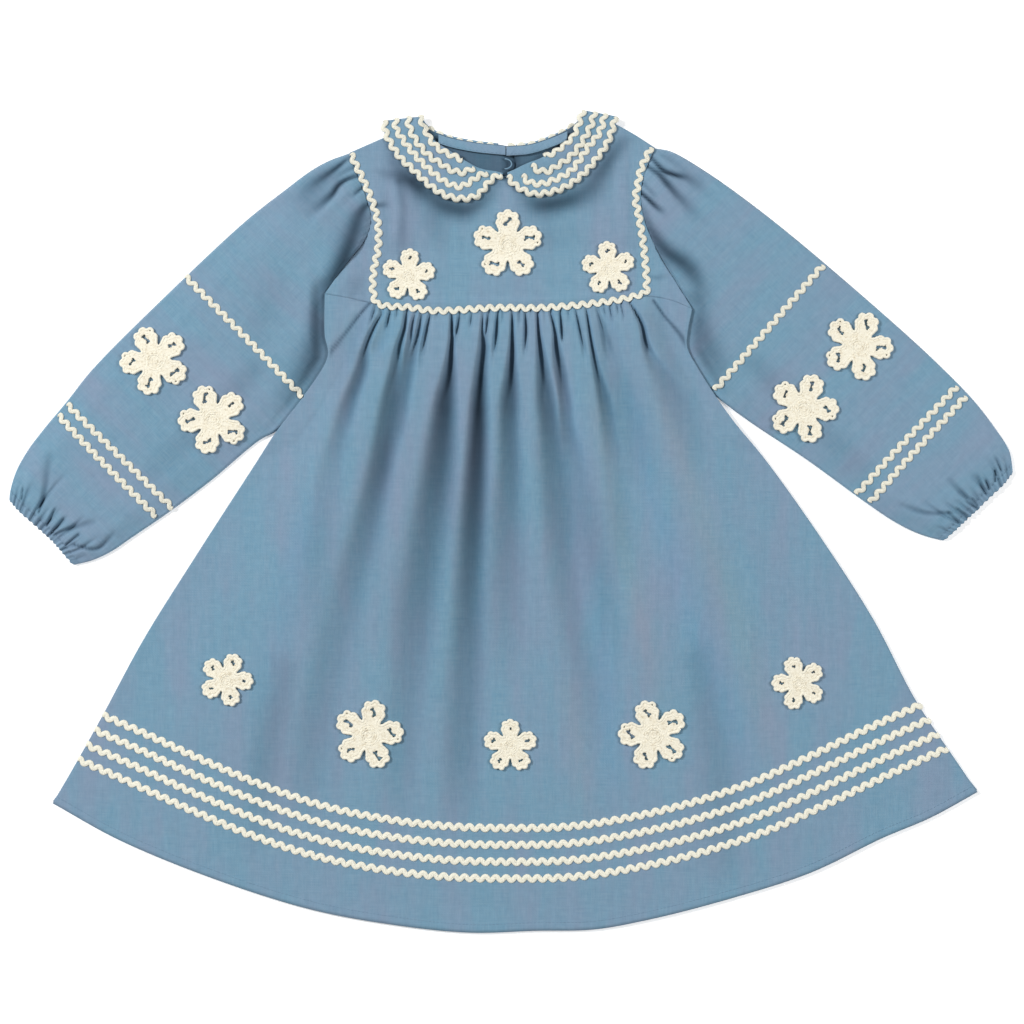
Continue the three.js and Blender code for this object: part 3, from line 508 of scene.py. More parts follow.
skirtFront = {
    "columns": 300,
    "rows": 128,
    "length": 500,
    "thick": 0.8,
    "top": 2.7,
    "loft": [(0, 2.0), (0.006, 4.4), (0.015, 7.0), (0.03, 8.6), (0.07, 9.3), (0.13, 9.2), (0.21, 8.8),
             (0.31, 8.2), (0.44, 6.8), (0.6, 4.8), (0.78, 2.6), (0.93, 0.9), (1, 0.4)],
    # troughs down the skirt: (x, y, half-width, share of the loft) from the seam to the hem
    "longFolds": [
        [(-103.4, 165.6, 1.6, 0.5), (-108, 158, 1.8, 0.7), (-112.8, 147.6, 2, 0.75), (-116, 138.8, 2.4, 0.75),
         (-120, 121.2, 4.8, 0.75), (-128.8, 97.2, 6.4, 0.55), (-136, 73.2, 7.2, 0.35),
         (-144.8, 33.2, 9.6, 0.15), (-154.4, -30.8, 12.8, 0.1), (-164.8, -110.8, 14.4, 0)],
        [(-83.4, 167.6, 1.4, 0.8), (-85.1, 154.2, 1.6, 0.8), (-88.8, 141.2, 2.4, 0.75), (-92, 121.2, 4, 0.65),
         (-96, 97.2, 6.4, 0.6), (-100, 73.2, 7.2, 0.6), (-104.8, 41.2, 8.8, 0.62), (-113.6, 1.2, 11.2, 0.46),
         (-131.2, -62.8, 14.4, 0.25), (-148.8, -126.8, 16, 0.2), (-160.8, -190.8, 16, 0.15),
         (-168.8, -246.8, 16, 0)],
        [(-71.2, 167.6, 1.4, 0.6), (-73.8, 152.4, 1.8, 0.65), (-76.8, 139.6, 2.4, 0.75),
         (-82.4, 121.2, 4.8, 0.65), (-87.2, 97.2, 5.6, 0.5), (-92, 73.2, 6.4, 0.4), (-98.4, 49.2, 6.4, 0.2),
         (-103.2, 21.2, 6.4, 0)],
        [(-76.4, 167.6, 1.2, 0.5), (-79.2, 154.8, 1.6, 0.6), (-80.8, 141.2, 2.4, 0.5),
         (-87.2, 121.2, 3.2, 0.35), (-92, 101.2, 4, 0.2), (-96.8, 77.2, 4, 0)],
        [(-47.3, 169.2, 1.3, 0.85), (-47.3, 154.8, 1.4, 0.95), (-47.6, 140.4, 1.9, 1), (-48.8, 121.2, 4, 1),
         (-52, 97.2, 7.2, 0.92), (-54.4, 73.2, 9.6, 0.82), (-58, 41.2, 12, 0.72), (-64, 1.2, 14.4, 0.55),
         (-74.4, -62.8, 16, 0.4), (-82.4, -126.8, 14.4, 0.24), (-90.4, -198.8, 14.4, 0.14),
         (-95.2, -254.8, 14.4, 0)],
        [(-22.4, 164.4, 1.2, 0.5), (-23.2, 150, 1.4, 0.75), (-22, 140.4, 2.9, 0.95), (-23.6, 121.2, 3.8, 1),
         (-25.2, 97.2, 5.6, 0.98), (-26, 73.2, 6.8, 0.93), (-27.6, 41.2, 8, 0.88), (-30, 1.2, 9.6, 0.78),
         (-33.6, -62.8, 11.2, 0.55), (-36.8, -126.8, 13.6, 0.35), (-40, -190.8, 13.6, 0.25),
         (-42.4, -254.8, 14.4, 0)],
        [(1, 167.6, 1.2, 0.7), (1, 151.6, 1.4, 0.85), (1, 137.2, 2.2, 0.97), (0.4, 121.2, 3.5, 0.95),
         (-0.8, 97.2, 6.4, 0.8), (-1.2, 73.2, 7.2, 0.62), (-0.8, 41.2, 8.8, 0.5), (-2.4, 1.2, 12, 0.36),
         (-3.2, -62.8, 13.6, 0.2), (-3.2, -134.8, 12.8, 0)],
        [(21.1, 169.2, 1.2, 0.75), (22, 151.6, 1.4, 0.85), (23.6, 137.2, 2.4, 0.92), (25.6, 119.6, 4, 0.85),
         (28, 97.2, 6.4, 0.72), (31.2, 73.2, 8, 0.6), (34.4, 41.2, 10.4, 0.46), (38.4, 1.2, 12, 0.36),
         (45.6, -62.8, 12, 0.2), (59.2, -126.8, 12.8, 0.12), (68, -198.8, 12.8, 0)],
        [(31.6, 167.6, 1.2, 0.65), (35, 151.6, 1.4, 0.75), (36.4, 138.8, 2.4, 0.9), (39.2, 121.2, 3.7, 0.75),
         (42.8, 97.2, 4.4, 0.5), (44.8, 73.2, 5.6, 0.42), (52, 41.2, 9.6, 0.2), (60.8, 1.2, 12, 0.18),
         (75.2, -62.8, 11.2, 0.12), (83.2, -118.8, 11.2, 0)],
        [(60.3, 168.4, 1, 0.6), (63.8, 145.2, 1.3, 0.65), (68.4, 121.2, 2.4, 0.6), (74.4, 97.2, 4.4, 0.5),
         (78.4, 73.2, 5.6, 0.35), (82.4, 41.2, 8, 0.15), (87.2, 1.2, 9.6, 0.12), (93.6, -54.8, 9.6, 0)],
        [(74.4, 137.2, 6.4, 0.1), (81.6, 119.6, 12.8, 0.2), (88.8, 93.2, 16, 0.18), (96.8, 65.2, 16, 0.14),
         (107.2, 17.2, 16, 0)],
        [(95, 174.5, 1.1, 0.6), (100.2, 165.8, 1.4, 0.7), (104.4, 157.2, 1.8, 0.75), (107.6, 142.8, 2.4, 0.8),
         (111.2, 132.4, 4, 0.4), (119.2, 119.6, 8, 0.28), (130.4, 97.2, 12.8, 0.2), (143.2, 65.2, 12.8, 0.12),
         (152.8, 25.2, 11.2, 0)],
        [(-119.2, 167.6, 6.4, 0.2), (-125.6, 156.4, 8, 0.3), (-132, 143.6, 9.6, 0.3),
         (-136.8, 127.6, 9.6, 0.15), (-142.4, 97.2, 8, 0)],
        [(116, 164.4, 8, 0.15), (125.6, 150, 10.4, 0.22), (130.4, 135.6, 11.2, 0.2),
         (138.4, 114.8, 11.2, 0.12), (151.2, 81.2, 11.2, 0)],
        [(-99.2, 162.8, 4.8, 0.15), (-101.6, 151.6, 6.4, 0.25), (-106.4, 140.4, 5.6, 0.3),
         (-109.6, 129.2, 4, 0)],
        [(68, 162.8, 6.4, 0.1), (76, 150, 8, 0.18), (80.8, 137.2, 8, 0.15), (85.6, 124.4, 6.4, 0)],
    ],
    # the same for the short gathers below the seam
    "gathers": [
        [(-108.8, 170.8, 1.2, 0.6), (-110.8, 162.8, 1.4, 0.45), (-114.4, 153.2, 1.6, 0)],
        [(-96.4, 168.4, 1.1, 0.65), (-98.4, 159.6, 1.3, 0.6), (-100, 150.8, 1.6, 0)],
        [(-91.2, 167.6, 1, 0.55), (-92, 158.8, 1.1, 0)],
        [(-64.2, 166.8, 1.2, 0.65), (-66.4, 157.2, 1.4, 0.7), (-68.8, 145.2, 1.8, 0.55),
         (-71.2, 133.2, 2.4, 0.3), (-72.8, 118, 2.4, 0)],
        [(-59.2, 167.6, 1, 0.5), (-60, 159.6, 1.1, 0)],
        [(-40.6, 166.8, 1.2, 0.6), (-43.2, 152.4, 1.4, 0.6), (-45.6, 142.8, 1.6, 0.3), (-47.2, 134, 1.6, 0)],
        [(-37.2, 167.6, 0.96, 0.5), (-37.6, 159.6, 1.1, 0)],
        [(-31.2, 167.6, 1, 0.6), (-32, 159.6, 1.2, 0.4), (-32.8, 152.4, 1.3, 0)],
        [(-18, 166.8, 1.2, 0.6), (-20, 151.6, 1.4, 0.6), (-20.8, 141.2, 1.6, 0.2), (-21.2, 134, 1.6, 0)],
        [(-10.4, 168.4, 1.2, 0.75), (-11.6, 151.6, 1.6, 0.75), (-12.8, 138.8, 1.9, 0.35),
         (-13.6, 126, 2.4, 0)],
        [(-6.8, 168.4, 1, 0.55), (-7.2, 154.8, 1.2, 0)],
        [(6.4, 168.4, 1, 0.6), (7.2, 154.8, 1.2, 0)],
        [(11.5, 168.4, 1.2, 0.65), (12, 151.6, 1.4, 0.7), (11.5, 142, 1.6, 0.4), (11.2, 129.2, 1.9, 0)],
        [(15.6, 168.4, 0.96, 0.5), (16, 159.6, 1, 0)],
        [(26.4, 168.4, 0.96, 0.5), (28, 158.8, 1.1, 0)],
        [(39.4, 167.6, 1, 0.7), (40.4, 153.2, 1.2, 0.7), (41.1, 140.4, 1.2, 0)],
        [(45.6, 168.4, 0.96, 0.5), (47.2, 158, 1.1, 0)],
        [(51.6, 170, 1, 0.55), (55.2, 151.6, 1.2, 0.5), (57.6, 140.4, 1.6, 0.3), (60, 126, 2, 0)],
        [(69, 169.2, 1.3, 0.5), (73.6, 153.2, 2, 0.5), (76.8, 141.2, 3.2, 0.45), (80, 126, 4, 0)],
        [(74.4, 170, 0.96, 0.5), (76.8, 159.6, 1, 0)],
        [(79.2, 170.8, 1, 0.6), (81.6, 155.6, 1.2, 0)],
        [(84.8, 171.6, 0.96, 0.5), (86.4, 162.8, 1, 0)],
        [(88, 172.4, 1, 0.55), (91.2, 158, 1.1, 0)],
    ],
    # painted sheen streaks: where the shot cloth is painted rosier (above 0) or bluer: (x, y, half-width,
    # share)
    "sheen": [
        [(64, 110, 6, 0.2), (68.8, 85, 7, 0.7), (80.8, 29, 8, 0.6), (87, -11, 9, 0.8), (103, -75, 10, 0.8),
         (115, -135, 11, 0.5), (124, -190, 12, 0.1)],
        [(116, 110, 7, 0.2), (123, 85, 8, 0.7), (143, 29, 10, 0.9), (156, -11, 11, 0.9), (179, -75, 13, 1),
         (197, -135, 13, 0.7), (210, -190, 13, 0.2)],
        [(92, 110, 6, -0.2), (99, 85, 8, -0.8), (110, 29, 9, -0.8), (123, -11, 11, -0.8),
         (143, -75, 13, -0.7), (167, -135, 13, -0.8), (182, -183, 13, -0.6), (194, -240, 13, 0)],
        [(48, 110, 6, -0.2), (51, 85, 8, -0.5), (55, 29, 9, -0.6), (57.6, -11, 10, -0.6), (69, -63, 11, -0.7),
         (77, -135, 11, -0.8), (79, -183, 11, -0.7), (84, -240, 11, 0)],
        [(-150, 40, 10, 0), (-165, -11, 12, -0.7), (-180, -75, 13, -0.4), (-195, -135, 13, -0.2)],
        [(46, -135, 10, 0.6), (54, -183, 10, 0.7), (58, -235, 10, 0.3)],
    ],
    # the first two are the seams that run down from the underarms
    "creases": [
        [(-112.4, 175.4, 1.1, -2), (-121, 165, 1.1, -2.2), (-134, 148.5, 1.9, -1.8),
         (-146, 133.6, 2.4, -1.6)],
        [(114.2, 176.6, 1.1, -2), (122.9, 164, 1.1, -2.2), (133.4, 151.8, 1.9, -1.8),
         (142, 139.6, 2.4, -1.6)],
        [(-118, 150, 7, 0.8), (-130, 128, 8, 0.9), (-146, 104, 9, 0.4)],
        [(120, 148, 7, 0.7), (134, 124, 8, 0.8), (150, 102, 9, 0.4)],
        [(-240, -90, 16, 0.5), (-258, -160, 18, 0.7), (-262, -230, 18, 0.3)],
        [(215, -60, 16, 0.5), (238, -140, 18, 0.6), (246, -225, 18, 0.3)],
        [(-180, -120, 12, -0.5), (-196, -190, 14, -0.6), (-204, -250, 14, -0.3)],
        [(150, -110, 12, -0.5), (163, -190, 14, -0.5), (170, -270, 14, -0.3)],
    ],
    # how dark the painted shade in the folds gets, down from the seam
    "paintedFoldShade": [(0, 0.2), (0.024, 0.26), (0.056, 0.45), (0.1, 0.8), (0.15, 1)],
    "hemTurn": 6.6,
}
skirtPlan = between(
    edgeOf(moved(yokeSeam, 0, -0.05)),
    edgeOf(hem),
    edgeOf(moved(sideSeam["left"], 0, -0.05)),
    edgeOf(moved(sideSeam["right"], 0, -0.05)),
)


def skirtHeight(u, v):
    s = skirtFront
    xy = skirtPlan(u, v)
    side = np.minimum(u, 1 - u)
    press = 1 - (1 - pressedAt(s["longFolds"], xy)) * (1 - pressedAt(s["gathers"], xy))
    loft = graded(s["loft"], v) * smooth(side, 0, 0.16) * (1 - 0.97 * press)
    creases = creased(xy, s["creases"]) * smooth(side, 0, 0.05)
    creases = creases + creased(xy, s["creases"][:2]) * (1 - smooth(side, 0, 0.05)) * smooth(side, 0, 0.01)
    loft = loft + creases
    # painted shade, darker deep in the folds and in the crease troughs
    fold = graded(s["paintedFoldShade"], v) * press * smooth(side, 0, 0.1)
    fold = np.maximum(fold, (-creases / 3).clip(0, 0.6))
    ripple = 0.25 * np.sin(u * 173 + 2 * np.sin(u * 31)) * np.exp(-v / 0.02) * smooth(side, 0.08, 0.14)
    fromHem = (1 - v) * s["length"]
    turned = 0.35 * (1 - smooth(fromHem, s["hemTurn"] - 0.5, s["hemTurn"] + 1.2))
    seamPull = 0.16 * np.exp(-(((fromHem - s["hemTurn"]) / 1.1) ** 2))
    # painted sheen: one flank of each fold is painted rosier and the other bluer, by its slope
    slope = np.gradient(pressedAt(s["longFolds"], xy), axis=1) / np.gradient(xy[..., 0], axis=1)
    shotSheen = 0.8 * np.tanh(16 * slope) + creased(xy, s["sheen"])
    return s["top"] + np.maximum(loft + ripple, overArm(xy)) + turned - seamPull, fold.clip(0, 1), shotSheen


# rows are closer below the seam and along the turned hem
rowsAlong = np.linspace(0, 1, skirtFront["rows"]) ** 1.35
rowsAlong = np.concatenate([rowsAlong[:-5], 1 - np.array([0.016, 0.0135, 0.011, 0.006, 0.0])])
v, u = gridOf(rowsAlong, skirtFront["columns"])
xy = skirtPlan(u, v)
height, fold, shotSheen = skirtHeight(u, v)
skirtFrontPiece = shellOf(
    "skirtFront", np.dstack([xy, height]), skirtFront["thick"], grainOf(xy), chambray, fold=fold, shotSheen=shotSheen)
print("skirt front done")


# Skirt back, flat on the floor inside the front's sides

skirtBack = {
    "columns": 70,
    "rows": 60,
    "thick": 0.8,
    "top": 1.2,
    "creases": [
        [(-60, 150, 9, 0.45), (-66, 40, 14, 0.5), (-80, -120, 20, 0.3)],
        [(20, 150, 8, 0.4), (24, 20, 13, 0.5), (30, -160, 20, 0.3)],
        [(84, 150, 8, 0.4), (100, 30, 14, 0.45), (130, -120, 20, 0.3)],
    ],
    "left": [(-134, 178.4), (-136, 157), (-135, 134), (-147, 109), (-165, 88), (-184, 70), (-206, 40),
             (-253, -31), (-293, -95), (-327.5, -159), (-354, -206.5), (-367, -224)],
    "right": [(131, 173.4), (131, 157), (128.5, 138), (139, 113), (160, 97), (175, 80), (202, 48),
              (248, -15), (289, -79), (322.5, -143), (354.5, -191), (373.5, -215)],
}
backSeam = [(-134, 179)] + yokeSeam[1:-1] + [(131, 174)]
backPlan = between(
    edgeOf(moved(backSeam, 0, -0.6)),
    edgeOf(moved(hem, 0, 1.5)),
    edgeOf(skirtBack["left"]),
    edgeOf(skirtBack["right"]),
)
v, u = gridOf(skirtBack["rows"], skirtBack["columns"])
xy = backPlan(u, v)
side = smooth(np.minimum(np.minimum(u, 1 - u), np.minimum(v, 1 - v)), 0.02, 0.12)
height = skirtBack["top"] + creased(xy, skirtBack["creases"]) * side
skirtBackPiece = shellOf("skirtBack", np.dstack([xy, height]), skirtBack["thick"], grainOf(xy), chambray)


# Front yoke

yokeFront = {
    "columns": 170,
    "rows": 84,
    "thick": 0.8,
    "shoulderShare": 0.16,
    "top": 2.7,
    "overBack": 1.5,  # more height where the collar's back lies below
    "creases": [
        [(-88, 280, 6, 0.5), (-90, 255, 6, 1.5), (-89, 215, 7, 0.5)],
        [(-112, 251.5, 2, -0.9), (-105, 253, 2.2, -0.8), (-97, 254, 3, -0.1)],
        [(-98, 262, 4, -0.3), (-99, 240, 4, -0.4), (-99, 205, 5, -0.2)],
        [(-92, 178, 3, 0.4), (-60, 175, 3, 1.0), (0, 176, 3, 1.0), (60, 179, 3, 1.0), (90, 184, 3, 0.4)],
        [(-78, 272, 7, -0.6), (-60, 254, 7, -1.4), (-40, 249, 8, -1.3), (-14, 258, 6, -0.4)],
        [(22, 254, 7, -0.6), (50, 256, 9, -1.3), (66, 262, 9, -1.3), (80, 278, 7, -0.5)],
        [(88, 282, 5, 1.0), (92, 250, 5, 1.2), (94, 215, 6, 0.5)],
        [(40, 245, 12, 0.4), (50, 215, 14, 0.5), (48, 190, 12, 0.3)],
    ],
    # painted shade that the collar's edge throws, and in a few creases: (x, y, half-width, share)
    "underCollar": [
        [(-101, 305, 4, 0.1), (-93, 289, 6, 0.3), (-80, 276, 7, 0.42), (-64, 263, 8, 0.46),
         (-50, 254, 10, 0.5), (-36, 250, 9, 0.5), (-24, 257, 7, 0.4), (-14, 268, 6, 0.3), (-5, 274, 4, 0.3),
         (4, 268, 5, 0.3), (12, 260, 6, 0.34), (26, 256, 9, 0.42), (44, 258, 9, 0.42), (62, 269, 8, 0.36),
         (76, 286, 7, 0.3), (84, 304, 5, 0.1)],
        [(-112, 251.5, 2, 0.4), (-105, 253, 2.2, 0.4), (-97, 254, 3, 0.1)],
        [(-95, 287, 5, 0.1), (-86, 275, 7, 0.2), (-76, 262, 8, 0.2)],
        [(-109, 281, 3, 0.06), (-101, 278.5, 4, 0.26), (-92, 276, 5, 0.36), (-84, 272.5, 6, 0.32),
         (-76, 268, 7, 0.2)],
        [(-90, 271, 3, 0.26), (-87.5, 258, 3.4, 0.26), (-86.4, 245, 3.6, 0.22), (-88, 228, 4, 0.14),
         (-92, 212, 5, 0)],
        [(98, 308, 4, 0.08), (90, 303, 6, 0.32), (82, 294, 7, 0.36), (74, 284, 7, 0.3), (64, 274, 8, 0.12)],
        [(10, 253, 6, 0.16), (22, 249.5, 8, 0.32), (34, 251, 8, 0.3), (46, 256, 7, 0.14)],
        [(-86, 236, 6, 0.1), (-88, 214, 7, 0.14), (-96, 190, 6, 0.06)],
        [(-72, 250, 9, 0.1), (-63, 240, 10, 0.22), (-57, 226, 9, 0.1)],
        [(-120, 200, 6, 0.05), (-124, 190, 7, 0.16), (-128, 183, 7, 0.1)],
        [(108, 196.5, 1.6, 0.15), (118, 195.2, 1.8, 0.3), (127, 198, 1.8, 0.12)],
        [(8, 238, 9, 0.06), (20, 226, 11, 0.12), (44, 232, 12, 0.08)],
    ],
}
share = yokeFront["shoulderShare"]
yokePlan = between(
    edgeOf((share, shoulderSeam["left"]), (1 - 2 * share, frontNeck), (share, shoulderSeam["right"])),
    edgeOf(yokeSeam),
    edgeOf(armhole["left"]),
    edgeOf(armhole["right"]),
)
v, u = gridOf(yokeFront["rows"], yokeFront["columns"])
xy = yokePlan(u, v)
swell = 1.1 * np.sin(np.pi * u) * smooth(v, 0.45, 0.7)
pucker = 0.22 * np.sin(u * 190 + 3 * np.sin(u * 23)) * np.exp(-(1 - v) / 0.05)
creases = creased(xy, yokeFront["creases"])
height = yokeFront["top"] + yokeFront["overBack"] * smooth(xy[..., 1], 214, 234)
height = height + np.maximum(swell, overArm(xy)) + creases + pucker
# painted shade in the crease troughs and under the collar
fold = (-creases * 0.2).clip(0, 0.5) + creased(xy, yokeFront["underCollar"])
yokeFrontPiece = shellOf(
    "yokeFront", np.dstack([xy, height]), yokeFront["thick"], grainOf(xy), chambray, fold=fold)


# Back yoke in two halves; the right one's edge opens a slit at the centre back

yokeBack = {
    "columns": 56,
    "rows": 64,
    "thick": 0.7,
    "top": 1.1,
    "left": {
        "start": edgeOf((0.35, shoulderSeam["left"]),
                        (0.65, [neckPoint["left"], (-66, 313.5), (-49, 307.5), (-29, 303.5), (-4.15, 301)])),
        "end": edgeOf(yokeSeam[:6] + [(-4.15, 166.8)]),
        "left": edgeOf(moved(armhole["left"], 2.6, 0)),
        "right": edgeOf([(-4.15, 301), (3, 297), (6.5, 288), (5.5, 274), (1, 262), (-4.15, 250),
                         (-4.15, 166.8)]),
    },
    "right": {
        "start": edgeOf((0.65, [(-3.85, 300.5), (15, 302), (35, 308.5), (50, 316), neckPoint["right"]]),
                        (0.35, shoulderSeam["right"])),
        "end": edgeOf([(-3.85, 166.8)] + yokeSeam[6:]),
        "left": edgeOf([(-3.85, 300.5), (1, 295), (4, 287), (2, 276), (-2.5, 264), (-3.5, 250), (-3.85, 225),
                        (-3.85, 166.8)]),
        "right": edgeOf(moved(armhole["right"], -2.6, 0)),
    },
}
yokeBackPieces = {}
for sideName in ("left", "right"):
    v, u = gridOf(yokeBack["rows"], yokeBack["columns"])
    xy = between(**yokeBack[sideName])(u, v)
    dip = creased(xy, [[(-60, 298, 5, -0.25), (-20, 290, 6, -0.2), (40, 297, 5, -0.25)]])
    # the left half's edge lies on below the right one at the opening
    underlap = smooth(xy[..., 0], -7, -4.2) if sideName == "left" else 0
    height = yokeBack["top"] + (1.5 - 1.4 * underlap) * smooth(xy[..., 1], 236, 256) + dip * 0.6
    name = "yokeBack" + sideName.title()
    top = np.dstack([xy, height])
    # painted shade: the back is in the shade of the collar where the neckline shows it, and darker along the
    # slit at the centre
    fold = 0.62 * smooth(xy[..., 1], 240, 256) + 0.2 * (1 - smooth(np.abs(xy[..., 0] - 1), 2, 9))
    yokeBackPieces[sideName] = shellOf(name, top, yokeBack["thick"], grainOf(xy), chambray, fold=fold)
print("yokes done")


# Sleeves: tubes laid flat, gathered at the cap and drawn up in an elastic casing at the wrist

